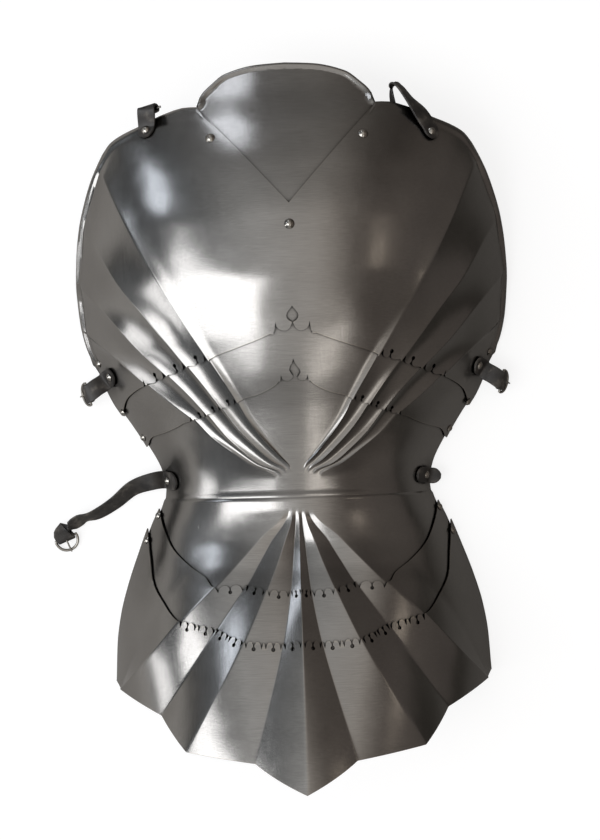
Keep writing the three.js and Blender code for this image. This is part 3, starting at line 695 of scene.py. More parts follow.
def finish_plate(name, outer, inner, cutters, body, replaced):
    """A plate's mesh from its two faces, cut, with its rubbed and highlit edges noted, riding on its body."""
    rows, columns = outer.shape[:2]
    piece = new_object(name, sheet_points(outer, inner), sheet_faces(rows, columns), plate_steel)
    merge_close(piece)
    edge_points = [outer[r, c] for r, c in border(rows, columns)]
    if cutters:
        cut(piece, cutters)
        for _, _, flat in cutters:
            edge_points += between_points(flat[:-4], 4)      # the last four points lie outside the plate
    note_edges(piece, edge_points)
    stand_in(piece, body, [replaced])
    print(name, "size", (piece.dimensions / MM).to_tuple(1), "mm")


print("points along a line of two steps", len(between_points([0.0, 1.0, 2.0], 4)))

# %% [markdown]
# ## The back plate
# The largest plate covers the shoulder blades. Its armholes and shoulders are rolled outwards, which
# stiffens them and keeps the edge off the wearer. A swept tube would do for a thick roll, but would not
# flow into the plate. Here the roll is a bead, a rise of the plate itself near its edge, which dies away
# over the shoulders. The hem has a teardrop between two spikes in the middle, cut as the lobes are.

# %% Rolled edge
ROLL_WIDTH, ROLL_HEIGHT = 9.5, 3.2
SHOULDERS = (258, 284)        # the roll dies away between these y
SHOULDER_SHARE = 0.2          # what is left of it above them
FLUTES_END = (1, 19)          # flutes grow to their full height within this distance of the edge


def bead(distance, width, rise):
    """The height of a roll at some distance from the edge."""
    t = np.clip(1 - distance / width, 0, 1)
    return rise * np.sin(np.pi * 0.84 * t)


def distance_to(points, line):
    """The distance of each point to the nearest point of a line."""
    flat = points.reshape(-1, 3)
    nearest = np.full(len(flat), 1e9)
    for start in range(0, len(flat), 2000):
        part = flat[start:start + 2000, None] - line[None]
        nearest[start:start + 2000] = np.sqrt((part ** 2).sum(-1)).min(1)
    return nearest.reshape(points.shape[:-1])


def plain_surface(x, y):
    return np.stack([x, y, height(x, y)], -1)


print("roll height 5 mm from the edge", round(float(bead(5, ROLL_WIDTH, ROLL_HEIGHT)), 2), "mm")

# %% Cutters for a hem
LAST_CUT = 4.16               # ray number


def mirrored_outline(right_half):
    """A symmetrical outline from the points right of the centre line, listed from left to right."""
    return [(-x, y) for x, y in reversed(right_half)] + right_half


def flat_cutter(outline, z):
    """A cutter that stands upright through the crown, for the ornament in the middle of a hem."""
    corner = np.array([0.0, 0.0, z])
    return prism(outline, corner, np.array([1.0, 0, 0]), np.array([0, 1.0, 0]), 14.0)


def flute_cutters(hem, layer, inset, depth, hole):
    """Lobes between the ridges on both sides, and a last V cut outside the outer ridge."""
    made = []
    for side in (-1, 1):
        at = [(side * k, float(hem_along(hem, inset)(np.array([float(k)]))[0])) for k in (1, 2, 3, 4)]
        for start, end in zip(at[:-1], at[1:]):
            made.append(edge_cutter(start, end, layer, inset, 1, depth, hole))
        outer = (side * LAST_CUT, float(hem_along(hem, inset)(np.array([LAST_CUT]))[0]))
        a, b = on_plate(*at[-1], layer, inset), on_plate(*outer, layer, inset)
        along = unit(b - a)
        mid, edge_y = side * (4 + LAST_CUT) / 2, at[-1][1]
        into = on_plate(mid, edge_y + 8, layer, inset) - on_plate(mid, edge_y - 1, layer, inset)
        into = unit(into - along * np.dot(into, along))
        notch = [(0, -0.7), (0.8, 1.6), (2.0, depth * 0.95), (3.6, 1.6), (5.2, 0.4),
                 (5.2, -9), (-1.5, -9), (-1.5, -2.6)]
        made.append(prism(notch, a, along, into))
    return made


def blank_hem(hem, centre_half, centre_y):
    """The hem before it is cut: lower in the middle, where the ornament is, than the finished hem."""
    return lambda x: np.where(x < centre_half, centre_y, hem(x))


def cut_hem(blank, inset, drop):
    """The blank's y by ray number, with a strip of extra steel where the lobes will be cut."""
    decorated = lambda u: np.where((u >= 0.999) & (u <= 4.001), drop, 0.0)
    return lambda u: hem_along(blank, inset)(u) - decorated(u)


print("cutters on the back plate's flutes", len(flute_cutters(MAIN_HEM, 0, 0.0, 7.2, 2.3)))

# %% Back plate
CROWN_Z = 157.0               # height of the crown at the teardrop
NOTCH_CORNER = 0.4105         # ray number at the top of the neck notch
teardrop_half = [
    (0.04, 112.8), (1.4, 110.9), (3.4, 108.6), (5.3, 106.0), (6.0, 103.5), (5.4, 100.8), (3.6, 98.6),
    (1.5, 97.5), (0.7, 96.9), (1.0, 95.2), (2.6, 91.6), (5, 89.3), (8, 88.6), (11, 89), (14, 90.6),
    (15.8, 93), (17, 97.8), (17.7, 91), (18.3, 88.2), (19.2, 87.6), (19.2, 76)]
half_u = np.abs(COLUMNS)
low = cut_hem(blank_hem(MAIN_HEM, centre_half=19.1, centre_y=85.0), inset=0.0, drop=2.5)(half_u)
y = grid_rows(low, main_top(half_u), 44, reach=1.6)
u = np.broadcast_to(COLUMNS, y.shape)
form = plain_surface(fan(u, y), y)
right_arm, left_arm = form[-1][COLUMNS > NOTCH_CORNER], form[-1][COLUMNS < -NOTCH_CORNER]
arms = between_points(right_arm, 8) + between_points(left_arm, 8)
from_rim = distance_to(form, np.array(arms))
roll_height = ROLL_HEIGHT * (1 - (1 - SHOULDER_SHARE) * ramp(*SHOULDERS, y))
outer, inner = outer_inner(u, y, 0, 0.0, bead(from_rim, ROLL_WIDTH, roll_height), ramp(*FLUTES_END, from_rim))
cutters = flute_cutters(MAIN_HEM, 0, 0.0, depth=7.2, hole=2.3)
cutters.append(flat_cutter(mirrored_outline(teardrop_half), CROWN_Z))
finish_plate("back_plate_steel", outer, inner, cutters, "back_plate", "back_plate")

# %% [markdown]
# ## Collar plate
# A separate plate closes the neck. It lies under a V notch in the back plate, held by three rivets, and its
# top edge is turned out into a narrow rim. It could be cut from the fan's grid like the others, but it has
# no flutes, so a plain grid that narrows to its hidden tip is simpler.

# %% Collar plate
TOP_HALF, LOW_HALF = 91, 95           # half widths that its columns run to
TIP_Y, CORNER_RISE = 181, 119         # its hidden lower edge is a V
RIM_WIDTH, RIM_HEIGHT = 6.5, 2.6
across = np.linspace(-1, 1, 81)
rise = np.concatenate([np.linspace(0, 0.9, 26), np.linspace(0.905, 1, 22)])[:, None]
x_top, x_low = TOP_HALF * np.abs(across), LOW_HALF * np.abs(across)
y_top, y_low = COLLAR_TOP(x_top), TIP_Y + np.abs(across) * CORNER_RISE
x = np.sign(across) * (x_low + (x_top - x_low) * rise)
y = y_low + (y_top - y_low) * rise
base = plain_surface(x, y)
from_rim = distance_to(base, np.array(between_points(base[-1], 8)))
lift = (bead(from_rim, RIM_WIDTH, RIM_HEIGHT) - PITCH - NECK_PLAY)[..., None]
outer = base + normal(x, y) * lift
inner = base + normal(x, y) * (lift - SHEET)
finish_plate("collar_plate_steel", outer, inner, [], "back_plate", "neck_plate")

# %% [markdown]
# ## Narrow lame and waist plate
# Both slip under the hem of the plate above. The narrow lame has a flame cut in its middle. The waist plate
# carries the flutes to their meeting point, is creased at the waist, and flares out again into the tail's
# first folds. Its own grid needs fewer columns, because the rays run so close together at the waist that
# their points would touch, and it has rows on the crease, so that the crease stays straight.

# %% Narrow lame
flame = [
    (-14.8, 26), (-14.8, 36.3), (-14.1, 39.5), (-13.4, 45.4), (-12, 41.5), (-10, 40), (-7, 39.4),
    (-4, 40.3), (-2.0, 42.4), (-1.2, 44.0), (-3.2, 47), (-4.8, 50), (-4.2, 53.5), (-2, 57), (-0.5, 61.5),
    (0.8, 57.5), (3, 54.2), (5.8, 50.5), (6.3, 47.5), (4.6, 44.5), (3.0, 42.4), (5, 40.4), (8, 39.5),
    (10.5, 40.1), (12.2, 41.6), (13.4, 45.4), (14.1, 39.5), (14.8, 36.3), (14.8, 26)]
LAME_INSET = 1.4
LAME_CROWN_Z = 132.0
HIDDEN = 16.5                 # the lame reaches this far under the plate above
low = cut_hem(blank_hem(MID_HEM, centre_half=14.7, centre_y=36.0), LAME_INSET, drop=2.2)(half_u)
y = grid_rows(low, hem_along(MAIN_HEM, 0.0)(half_u) + HIDDEN, 12, close_high=False)
outer, inner = outer_inner(np.broadcast_to(COLUMNS, y.shape), y, 1, LAME_INSET)
cutters = flute_cutters(MID_HEM, 1, LAME_INSET, depth=5.2, hole=1.9) + [flat_cutter(flame, LAME_CROWN_Z)]
finish_plate("narrow_lame_steel", outer, inner, cutters, "mid_lame", "mid_lame")

# %% Waist plate
WAIST_INSET = 2.2
OVERLAP = 22                  # how far one plate reaches under the next
TAIL_COLUMNS = mirrored([k + f for k in (0, 1, 2, 3) for f in BETWEEN_RIDGES] + [4 + f for f in SIDE])
half_u = np.abs(TAIL_COLUMNS)
low = LAME_1_TOP(half_u) - OVERLAP * np.where(half_u > 4.5, 0.9, 1)
high = hem_along(MID_HEM, LAME_INSET)(half_u) + OVERLAP
level = np.ones_like(half_u)
below = [low + (WAIST_Y - CREASE_BELOW - low) * t for t in np.linspace(0, 1, 50)]
above = [WAIST_Y + CREASE_ABOVE + (high - WAIST_Y - CREASE_ABOVE) * t for t in np.linspace(0, 1, 44)]
crease = [(WAIST_Y + d) * level
          for d in (-CREASE_BELOW / 2, -0.4, 0, 0.4, CREASE_ABOVE / 3, CREASE_ABOVE / 1.5)]
y = np.stack(below + crease + above)
outer, inner = outer_inner(np.broadcast_to(TAIL_COLUMNS, y.shape), y, 2, WAIST_INSET)
finish_plate("waist_plate_steel", outer, inner, [], "waist_plate", "waist_plate")

# %% [markdown]
# ## Tail lames
# Two lames carry the folds outwards and end in points. Their upper edges lie on top of the plate before
# them, so the filed lobes face up towards the waist. They are made as the other plates are, because their
# folds have to run on from the waist plate's without a step.

# %% Cutters for an upper edge
TOP_BLANK = 2.4               # extra steel for the lobes to be cut from


def crown_cutters(top, layer, inset, depth, hole, pairs):
    """Cutters along the folded part of an upper edge; pairs gives how many lobe pairs each face has."""
    made = []
    for side in (-1, 1):
        for k, count in enumerate(pairs):
            for i in range(count):
                ends = [k + i / count, k + (i + 1) / count]
                start, end = [(side * e, float(np.interp(e, [k, k + 1], top([k, k + 1])))) for e in ends]
                made.append(edge_cutter(start, end, layer, inset, -1, depth, hole, ("start", "end")))
    return made


def blank_top(top):
    """The upper edge before it is cut, straight between the ridges and a little too high there."""
    knots = np.arange(5.0)
    return lambda u: np.where(u <= 4, np.interp(u, knots, top(knots)) + TOP_BLANK, top(u))


print("lobe cutters on the upper tail lame",
      len(crown_cutters(LAME_1_TOP, 1, LAME_INSET, 6.6, 2.0, (1, 1, 1, 1))))


# %% Upper tail lame
y = grid_rows(LAME_2_TOP(half_u) - OVERLAP, blank_top(LAME_1_TOP)(half_u), 16, close_low=False)
outer, inner = outer_inner(np.broadcast_to(TAIL_COLUMNS, y.shape), y, 1, LAME_INSET)
cutters = crown_cutters(LAME_1_TOP, 1, LAME_INSET, depth=6.6, hole=2.0, pairs=(1, 1, 1, 1))
finish_plate("upper_tail_lame_steel", outer, inner, cutters, "tail_lame_upper", "tail_lame_upper")

# %% Lower tail lame
tail_hem = np.interp(half_u, [p[0] for p in TAIL_POINTS], [p[1] for p in TAIL_POINTS])
y = grid_rows(tail_hem, blank_top(LAME_2_TOP)(half_u), 40)
outer, inner = outer_inner(np.broadcast_to(TAIL_COLUMNS, y.shape), y, 0, 0.0)
cutters = crown_cutters(LAME_2_TOP, 0, 0.0, depth=7.0, hole=2.15, pairs=(1, 2, 2, 2))
finish_plate("lower_tail_lame_steel", outer, inner, cutters, "tail_lame_lower", "tail_lame_lower")

# %% [markdown]
# ## Rivets
# Round-headed steel rivets hold the collar and the straps, and the lames turn on those at the rims. Half a
# sphere would look right from above, but not from the side or from inside. So each is turned from a
# profile: a domed head, a shank through the plates, and a clenched end inside.

# %% Turned shapes
RIVET_PROFILE = [
    (0, 2.7), (0.9, 2.62), (1.8, 2.36), (2.7, 1.86), (3.5, 1.15), (4.1, 0.45), (4.4, 0.1), (4.3, 0),
    (1.9, 0)]


def turned(profile, axis, position, sides=24):
    """A solid of revolution about an axis: its points and faces."""
    turn = Vector((0, 0, 1)).rotation_difference(Vector(axis)).to_matrix()
    points, faces = [np.array([0, 0, profile[0][1]])], []
    angles = 2 * np.pi * np.arange(sides) / sides
    for radius, z in profile[1:-1]:
        points += [np.array([radius * math.cos(a), radius * math.sin(a), z]) for a in angles]
    points.append(np.array([0, 0, profile[-1][1]]))
    last = len(points) - 1
    for i in range(sides):
        j = (i + 1) % sides
        faces.append((0, 1 + i, 1 + j))
        for ring in range(len(profile) - 3):
            at = 1 + ring * sides
            faces.append((at + i, at + sides + i, at + sides + j, at + j))
        at = 1 + (len(profile) - 3) * sides
        faces.append((last, at + j, at + i))
    turn = np.array(turn)
    return np.array([turn @ p + position for p in points]), faces


print("faces of a rivet's head", len(turned(RIVET_PROFILE, (0, 0, 1), np.zeros(3))[1]))


# %% Rivets
RIVET_INSET = 4.6                                       # from the rim of the plates
SHANK, CLENCH, CLENCH_THICK = 1.9, 3.3, 0.9
NECK_SIZE = 1.15                                        # the three neck rivets are a little larger
LEATHER = 2.4                                           # thickness of a strap
ONE_SHEET, TWO_SHEETS, COLLAR_GRIP = 2.3, 4.6, 5.5      # what the shanks pass through
RIM_Y = 67
PIVOTS = (("back_plate", "pivot_main", 14, 0), ("mid_lame", "pivot_mid", -15, 1),
          ("tail_lame_upper", "pivot_tail_upper", -97, 1), ("tail_lame_lower", "pivot_tail_lower", -124, 0))


def joined(name, solids, material, smooth_angle=30):
    points, faces, start = [], [], 0
    for p, f in solids:
        points.append(p)
        faces += [tuple(i + start for i in face) for face in f]
        start += len(p)
    return new_object(name, np.concatenate(points), faces, material, smooth_angle)


def rivet_solid(x, y, layer, lift, depth, size):
    """A rivet on the plates; lift raises its head onto a strap, depth is how far its shank goes down."""
    end = -depth - lift
    profile = [(r * size, z * size) for r, z in RIVET_PROFILE]
    profile += [(SHANK, end), (CLENCH, end), (CLENCH - 0.1, end - CLENCH_THICK), (0, end - 1)]
    axis = normal(np.array(x), np.array(y))
    place = np.array([x, y, float(height(x, y))]) + axis * (lift - layer * PITCH)
    return turned(profile, axis, place)


PLATES = ("back_plate", "mid_lame", "waist_plate", "tail_lame_upper", "tail_lame_lower")
rivet_groups = {body: [] for body in PLATES}
rivet_nodes = {body: [] for body in PLATES}


def place_rivet(body, node, x, y, layer=0, lift=0.3, depth=TWO_SHEETS, size=1.0):
    rivet_groups[body].append(rivet_solid(x, y, layer, lift, depth, size))
    rivet_nodes[body].append(node)


for side, sign in (("left", -1), ("right", 1)):
    for body, name, at_y, layer in PIVOTS:
        at_x = sign * (float(HALF_WIDTH(at_y)) - RIVET_INSET)
        place_rivet(body, f"rivet_{name}_{side}", at_x, at_y, layer)
    rim_x = sign * (float(HALF_WIDTH(RIM_Y)) - RIVET_INSET)
    place_rivet("back_plate", f"rivet_rim_{side}", rim_x, RIM_Y, depth=ONE_SHEET)
    place_rivet("back_plate", f"rivet_neck_{side}", sign * 77, 286, depth=COLLAR_GRIP, size=NECK_SIZE)
    place_rivet("back_plate", f"rivet_side_{side}", sign * 193.5, 53, lift=2.2 + LEATHER, depth=ONE_SHEET)
place_rivet("back_plate", "rivet_neck_centre", 0, 193, depth=COLLAR_GRIP, size=NECK_SIZE)
place_rivet("back_plate", "rivet_shoulder_left", -143, 301, lift=1.5 + LEATHER, depth=ONE_SHEET)
place_rivet("back_plate", "rivet_shoulder_right", 146.5, 290, lift=2.1 + LEATHER, depth=ONE_SHEET)
place_rivet("waist_plate", "rivet_waist_left", -141, -61, 2, 1.5 + LEATHER, ONE_SHEET)
place_rivet("waist_plate", "rivet_waist_right", 139, -63, 2, 1.5 + LEATHER, ONE_SHEET)
for body, solids in rivet_groups.items():
    stand_in(joined(f"rivets_{body}", solids, rivet_steel, 50), body, rivet_nodes[body])
    print("rivets on", body, len(solids))

# %% [markdown]
# ## Straps
# The straps are about 20 mm wide and 2.4 mm thick. A curve with a bevel is the usual way to make one, but
# it is hard to make that twist, fold over a bar and lie on edge. So each is laid along a few places it
# passes through, with the direction of its width at each place, and a rounded section is swept along that
# path.

# %% Laying a strap
def smooth_path(points, steps=7):
    """A smooth line through all the points, with the same number of steps between each pair."""
    p = np.array([2 * points[0] - points[1], *points, 2 * points[-1] - points[-2]])
    made = []
    for i in range(1, len(p) - 2):
        for t in np.linspace(0, 1, steps, endpoint=False):
            made.append(0.5 * (2 * p[i] + (p[i + 1] - p[i - 1]) * t
                               + (2 * p[i - 1] - 5 * p[i] + 4 * p[i + 1] - p[i + 2]) * t * t
                               + (3 * p[i] - p[i - 1] - 3 * p[i + 1] + p[i + 2]) * t ** 3))
    made.append(p[-2])
    return np.array(made)


def strap_section(width, thickness, corner=0.7, count=5):
    """A rounded strip section: (across, up) points, with its underside at zero."""
    points = []
    for cx, cy, start in ((1, 1, 0), (-1, 1, 90), (-1, 0, 180), (1, 0, 270)):
        middle = (cx * (width / 2 - corner), thickness - corner if cy else corner)
        points += arc_points(middle, corner, start, start + 90, count)
    return points


print("points round a strap", len(strap_section(19, LEATHER)))

# %% Sweeping a strap
END_NARROWING = 0.08          # a rounded end stops here instead of at nothing


def by(x, y, z, across, width=None):
    """A place in the air for a strap to pass through, the direction of its width there, and its width."""
    return np.array([x, y, z], float), across, width


def strap_solid(stations, width, thickness=LEATHER, round_ends=(True, True)):
    """A strap's points and faces, swept along its stations."""
    path = smooth_path([at for at, _, _ in stations])
    wide = smooth_path([unit(across) for _, across, _ in stations])
    widths = smooth_path([np.array([own or width, 0, 0.0]) for _, _, own in stations])[:, 0]
    run = np.concatenate([[0], np.cumsum(np.linalg.norm(np.diff(path, axis=0), axis=1))])
    face = np.array([0, 0, 1.0])
    points, count = [], 0
    for i, place in enumerate(path):
        along = unit(path[min(i + 1, len(path) - 1)] - path[max(i - 1, 0)])
        side = unit(wide[i] - along * np.dot(wide[i], along))
        up = unit(np.cross(side, along))
        up = up if np.dot(up, face) > 0 else -up
        face = up
        narrow = 1.0
        for rounded_end, far in zip(round_ends, (run[i], run[-1] - run[i])):
            if rounded_end and far < width / 2:
                narrow = min(narrow, math.sqrt(max(END_NARROWING, 1 - (1 - far / (width / 2)) ** 2)))
        section = strap_section(widths[i] * narrow, thickness)
        count = len(section)
        points += [place + side * a + up * b for a, b in section]
    faces = [tuple(reversed(range(count))), tuple(range(len(points) - count, len(points)))]
    for i in range(len(path) - 1):
        for k in range(count):
            m = (k + 1) % count
            faces.append((i * count + k, i * count + m, (i + 1) * count + m, (i + 1) * count + k))
    return np.array(points), faces


def lying(x, y, layer, across, lift=1.2):
    """A place on the plates for a strap to lie, raised a little along the normal."""
    n = normal(np.array(float(x)), np.array(float(y)))
    at = np.array([x, y, float(height(x, y))]) + n * (lift - layer * PITCH)
    return at, across - n * np.dot(across, n), None


def outward(piece):
    """Turn the faces outwards, whichever way round the sweep has made them."""
    mesh = piece.data
    middle = sum((v.co for v in mesh.vertices), Vector()) / len(mesh.vertices)
    volume = sum((p.center - middle).dot(p.normal) * p.area for p in mesh.polygons)
    if volume < 0:
        mesh.flip_normals()
    return piece


print("a strap on the shoulder lies at", lying(-143, 294, 0, (1, 0.1, 0.45))[0].round(1), "mm")

# %% [markdown]
# ## Buckles
# Each small buckle is bent from 3 mm iron wire: a straight bar, closed by a bow, with a tongue curled round
# the bar. A ring and a rod would do from far away, but then the tongue would float. One function gives the
# paths of bow, bar and tongue and the strap's fold round the bar, so that they fit each other wherever the
# buckle is.

# %% Wire
def wire_solid(path, radius, closed, sides=12):
    """A round wire along a path: its points and faces."""
    path = np.asarray(path, float)
    count = len(path)
    side = np.array([0.13, 0.21, 0.97])
    points, faces = [], []
    for i, place in enumerate(path):
        ahead = path[(i + 1) % count] if closed else path[min(i + 1, count - 1)]
        behind = path[i - 1] if closed else path[max(i - 1, 0)]
        tangent = unit(ahead - behind)
        side = unit(side - tangent * np.dot(side, tangent))
        other = np.cross(tangent, side)
        end = 0.75 if not closed and i in (0, count - 1) else 1.0
        for k in range(sides):
            a = 2 * math.pi * k / sides
            points.append(place + (side * math.cos(a) + other * math.sin(a)) * radius * end)
    for i in range(count if closed else count - 1):
        j = (i + 1) % count
        for k in range(sides):
            m = (k + 1) % sides
            faces.append((i * sides + k, i * sides + m, j * sides + m, j * sides + k))
    if not closed:
        faces += [tuple(reversed(range(sides))), tuple(range((count - 1) * sides, count * sides))]
    return np.array(points), faces


print("faces of a straight wire", len(wire_solid([(0, 0, 0), (9, 0, 0)], 1.5, False)[1]))

# %% Buckle
WIRE, TONGUE = 1.5, 0.9                   # radii
BUCKLE_BAR, BUCKLE_DEPTH = 24, 14
BUCKLE_PLAY = 0.4                         # between the bar and what goes round it


def buckle(centre, bar, hang):
    """Paths of a buckle's bow, tongue and bar, and the strap's places round the bar."""
    a = unit(bar)
    o = unit(np.array(hang, float) - a * np.dot(hang, a))
    up = np.cross(o, a)
    up = up if up[2] >= 0 else -up
    place = lambda x, y, z: np.array(centre, float) + a * x + o * y + up * z
    bow = [place(-math.cos(t) * BUCKLE_BAR / 2, abs(math.sin(t)) ** 0.8 * BUCKLE_DEPTH, 0)
           for t in np.linspace(0, math.pi, 32)]
    bow += [place(x, 0, 0) for x in np.linspace(BUCKLE_BAR / 2, -BUCKLE_BAR / 2, 10)[1:-1]]
    fold = WIRE + BUCKLE_PLAY
    curl = fold + TONGUE
    angles = np.radians(-50 - 24.5 * np.linspace(0, 9, 24))
    tongue = [place(0, curl * math.cos(t), curl * math.sin(t)) for t in angles]
    tongue += [place(0, BUCKLE_DEPTH * part, curl + lift)
               for part, lift in ((0.25, 0.2), (0.5, 0.2), (0.8, 0), (1.14, -0.3))]
    turn = [place(0, fold * math.cos(t), fold * math.sin(t)) for t in np.radians((90, 55, 20, -20, -55, -90))]
    turn = [place(0, -7, fold + 0.3), *turn, place(0, -8.5, -fold - 0.3)]
    bar_path = [place(x, 0, 0) for x in np.linspace(-13, 13, 8)]
    return {"bow": bow, "tongue": tongue, "bar": bar_path, "fold": [(at, a, None) for at in turn]}


print("wire in a bow", len(buckle((0, 0, 0), (1, 0, 0), (0, 1, 0))["bow"]), "points")


# %% Iron and leather pieces
def iron_piece(name, path, radius, closed, body, node):
    piece = outward(joined(name, [wire_solid(path, radius, closed)], blackened_iron, 60))
    stand_in(piece, body, [node])
    print(name, "points", len(piece.data.vertices))


def strap_piece(name, stations, width, body, node):
    piece = outward(joined(name, [strap_solid(stations, width)], leather, 50))
    stand_in(piece, body, [node])
    print(name, "points", len(piece.data.vertices))


# %% Shoulder straps
shoulder = buckle((-140, 323, 92), (1, 0.2, 0.38), (0.1, 0.35, -1))
iron_piece("shoulder_bar_iron", shoulder["bar"], WIRE, False, "back_plate", "shoulder_bar")
strap_piece("shoulder_strap_left_leather",
            [lying(-143, 294, 0, (1, 0.1, 0.45)), lying(-142.5, 305, 0, (1, 0.1, 0.45)), *shoulder["fold"]],
            19, "back_plate", "shoulder_strap_left")
strap_piece("shoulder_strap_right_leather",
            [lying(149, 283, 0, (1, 0.5, -0.5), 1.8), lying(145, 295, 0, (1, 0.5, -0.5), 1.8),
             by(137, 310, 97, (0.8, 0.5, -0.6), 17), by(126, 325, 94, (0.6, 0.3, -1), 15),
             by(117, 339, 88, (0.3, 0.3, -1), 15), by(112, 342, 83, (0.1, 0.1, -1), 15),
             by(111, 334, 79, (-0.1, 0.1, -1), 15), by(113, 322, 76, (-0.2, 0.1, -1), 15),
             by(116, 311, 74, (-0.2, 0.1, -1), 15)],
            18, "back_plate", "shoulder_strap_right")

# %% Side straps
for side, sign in (("left", -1), ("right", 1)):
    hanging = buckle((sign * 222, 35, 17.5), (sign * 0.25, 1, 0), (sign * 0.5, -0.15, -0.85))
    iron_piece(f"side_buckle_{side}_iron", hanging["bow"], WIRE, True, f"side_buckle_{side}",
               f"side_buckle_{side}")
    iron_piece(f"side_tongue_{side}_iron", hanging["tongue"], TONGUE, False, f"side_tongue_{side}",
               f"side_tongue_{side}")
    strap_piece(f"side_strap_{side}_leather",
                [lying(sign * 190, 54, 0, (sign * 0.5, 0.85, 0), 1.6),
                 lying(sign * 197.8, 51.2, 0, (sign * 0.5, 0.85, 0), 1.8),
                 by(sign * 204, 46.5, 22.5, (sign * 0.5, 0.85, 0)),
                 by(sign * 212, 41.5, 25.5, (sign * 0.4, 0.9, 0)),
                 *hanging["fold"]],
                19, "back_plate", f"side_strap_{side}")

# %% Waist straps
waist_fitting = buckle((-252.7, -119.2, 5.1), (0.93, 0.37, 0), (0.37, -0.93, -0.2))
iron_piece("waist_buckle_iron", waist_fitting["bow"], WIRE, True, "waist_buckle", "waist_buckle")
iron_piece("waist_tongue_iron", waist_fitting["tongue"], TONGUE, False, "waist_tongue", "waist_tongue")
strap_piece("waist_strap_left_leather",
            [lying(-131, -62, 2, (0.1, 1, 0)), lying(-139, -61, 2, (0, 1, 0)),
             lying(-145, -60, 2, (0, 1, 0), 1.8),
             by(-156, -60.5, 15, (-0.2, 1, 0.25)), by(-178, -67, 11, (-0.4, 0.8, 0.6)),
             by(-198, -82, 9.5, (-0.45, 0.55, 0.75)), by(-217, -93, 9.8, (-0.6, 0.3, 0.75)),
             by(-236, -99, 11.5, (-0.9, -0.2, 0.3)), *waist_fitting["fold"]],
            19, "waist_plate", "waist_strap_left")
strap_piece("waist_strap_right_leather",
            [lying(129, -62, 2, (-0.1, 1, 0)), lying(137, -63, 2, (0, 1, 0)),
             lying(143, -64, 2, (0, 1, 0), 1.8),
             by(154, -65, 13, (0.2, 1, 0))],
            17, "waist_plate", "waist_strap_right")

# %% [markdown]
# ## Floor and light
# Polished steel shows the room more than itself, so the lights matter as much as the material. One large
# soft window stands high on the left, and smaller, weaker ones give the streaks on the shoulder, collar and
# flutes. The rest of the room is dim, which keeps the steel dark. A ring of equal lamps would be simpler,
# but it gives steel no form. The floor is white paper to the eye. To the reflections it is a room's floor
# with painted light and shade: palest half a metre left of the plate, darker further out and soonest to the
# right, and with some light of its own in place of many bounces.

# %% Floor
FLOOR_SIZE = 8.0
DARK_LEFT, DARK_RIGHT = -2.4, 0.6         # m from the plate to where the painted shade on the floor is darkest
floor_mesh = bpy.data.meshes.new("floor")
corners = [(x * FLOOR_SIZE, y * FLOOR_SIZE, 0) for x, y in ((-1, -1), (1, -1), (1, 1), (-1, 1))]
floor_mesh.from_pydata(corners, [], [(0, 1, 2, 3)])
floor = bpy.data.objects.new("floor", floor_mesh)
bpy.context.scene.collection.objects.link(floor)
paper, tree = new_material("white_paper_floor")
seen = add_node(tree, "ShaderNodeLightPath").outputs["Is Camera Ray"]
lit = add_node(tree, "ShaderNodeBsdfDiffuse", values={"Color": (0.3, 0.3, 0.3, 1)})
glow = add_node(tree, "ShaderNodeEmission", values={"Color": (1, 1, 1, 1), "Strength": 0.8})
white = add_node(tree, "ShaderNodeAddShader", links={0: lit.outputs[0], 1: glow.outputs[0]})
place = add_node(tree, "ShaderNodeTexCoord").outputs["Object"]
side = add_node(tree, "ShaderNodeSeparateXYZ", links={"Vector": place}).outputs["X"]
# Painted light and shade, seen only in reflections: the floor is palest half a metre left of the plate and
# darker further out, most quickly to the right.
shade = add_node(tree, "ShaderNodeMapRange", values={"From Min": DARK_LEFT, "From Max": DARK_RIGHT},
                 links={"Value": side})
shade = fill_ramp(add_node(tree, "ShaderNodeValToRGB", links={"Fac": shade.outputs["Result"]}),
                  [(0.0, "#3c3b3a"), (0.4, "#5e5d5b"), (0.6, "#c6c4c1"), (0.8, "#85827f"), (1.0, "#46433f")])
grey = add_node(tree, "ShaderNodeBsdfDiffuse", links={"Color": shade.outputs["Color"]})
bounce = add_node(tree, "ShaderNodeEmission", values={"Strength": 0.25},
                  links={"Color": shade.outputs["Color"]})
grey = add_node(tree, "ShaderNodeAddShader", links={0: grey.outputs[0], 1: bounce.outputs[0]})
shown = add_node(tree, "ShaderNodeMixShader", links={0: seen, 1: grey.outputs[0], 2: white.outputs[0]})
add_node(tree, "ShaderNodeOutputMaterial", links={"Surface": shown.outputs[0]})
floor_mesh.materials.append(paper)
print("floor", 2 * FLOOR_SIZE, "m wide, nodes", len(paper.node_tree.nodes))

# %% Room
room = bpy.data.worlds.new("dim_room")
room.use_nodes = True
tree = room.node_tree
tree.nodes.clear()
direction = add_node(tree, "ShaderNodeTexCoord").outputs["Generated"]
parts = add_node(tree, "ShaderNodeSeparateXYZ", links={"Vector": direction})


def room_tone(axis, stops):
    """The room's brightness along one axis, from (direction, hex colour) stops between -1 and 1."""
    place = add_node(tree, "ShaderNodeMapRange", values={"From Min": -1.0, "From Max": 1.0},
                     links={"Value": parts.outputs[axis]}).outputs["Result"]
    made = add_node(tree, "ShaderNodeValToRGB", links={"Fac": place})
    return fill_ramp(made, [((at + 1) / 2, colour) for at, colour in stops]).outputs["Color"]


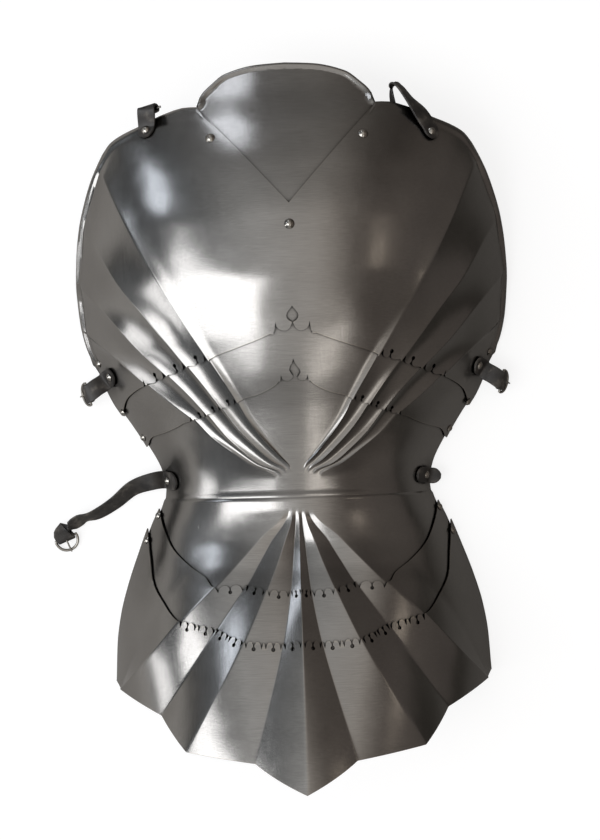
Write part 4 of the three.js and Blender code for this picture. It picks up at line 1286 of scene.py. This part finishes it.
across_room = room_tone("X", [
    (-1, "#787c80"), (-0.85, "#8a8e92"), (-0.7, "#909497"), (-0.3, "#f6f6f6"), (0.0, "#f6f3f0"),
    (0.25, "#f6f0ea"), (0.36, "#d8d0c9"), (0.48, "#a29a93"), (0.6, "#7e7670"), (0.8, "#837b75"),
    (1.0, "#746d69")])
along_room = room_tone("Y", [
    (-1, "#a8a8a8"), (-0.64, "#a8a8a8"), (-0.5, "#dedede"), (-0.3, "#d6d6d6"), (0.3, "#dcdcdc"),
    (0.65, "#acacac"), (0.9, "#848484"), (1.0, "#7a7a7a")])
tones = add_node(tree, "ShaderNodeMix", settings={"data_type": "RGBA", "blend_type": "MULTIPLY"},
                 values={0: 1.0}, links={6: across_room, 7: along_room})
dim = add_node(tree, "ShaderNodeBackground", values={"Strength": 1.12}, links={"Color": tones.outputs[2]})
bright = add_node(tree, "ShaderNodeBackground", values={"Color": (1, 1, 1, 1), "Strength": 0.97})
seen = add_node(tree, "ShaderNodeLightPath").outputs["Is Camera Ray"]
mixed = add_node(tree, "ShaderNodeMixShader", links={0: seen, 1: dim.outputs[0], 2: bright.outputs[0]})
add_node(tree, "ShaderNodeOutputWorld", links={"Surface": mixed.outputs[0]})
bpy.context.scene.world = room
print("room nodes", len(tree.nodes))

# %% Windows and soft boxes
LIGHT_DISTANCE = 6.0


def soft_box(name, towards, width, tall, radiance, colour, roll=0):
    """A flat light seen from the piece in the given direction; radiance is its brightness in reflections."""
    data = bpy.data.lights.new(name, "AREA")
    data.shape = "RECTANGLE"
    data.size, data.size_y = width, tall
    data.energy = radiance * math.pi * width * tall
    data.color = linear(colour)[:3]
    light = bpy.data.objects.new(name, data)
    aim = Vector(towards).normalized()
    light.location = aim * LIGHT_DISTANCE
    rolled = Matrix.Rotation(math.radians(roll), 3, "Z")
    light.rotation_euler = (aim.to_track_quat("Z", "Y").to_matrix() @ rolled).to_euler()
    bpy.context.scene.collection.objects.link(light)


soft_box("big_window", (-0.655, -0.175, 0.745), 3.1, 5.5, 3.6, "#fbfcff", roll=-33)
soft_box("low_window", (-0.92, -0.22, 0.12), 1.8, 1.5, 3.0, "#fbfcff")
soft_box("high_window_left", (-0.84, 0.44, 0.31), 1.2, 1.2, 2.7, "#e8f1ff")
soft_box("collar_window", (-0.31, 0.87, 0.36), 1.0, 1.8, 2.7, "#eef4ff")
soft_box("foot_panel", (0.31, -0.49, 0.82), 2.5, 0.8, 1.3, "#fffaf4")
soft_box("warm_lamp_right", (0.70, 0.16, 0.69), 0.5, 1.0, 0.8, "#fff1e0")

# %% [markdown]
# ## Tones
# Blender's default view transform softens bright spots, which makes steel look like plaster. The plain one
# is used instead, so that the window burns out to white on the steel as it does to the eye.

# %% Finish
bpy.context.scene.view_settings.view_transform = "Standard"
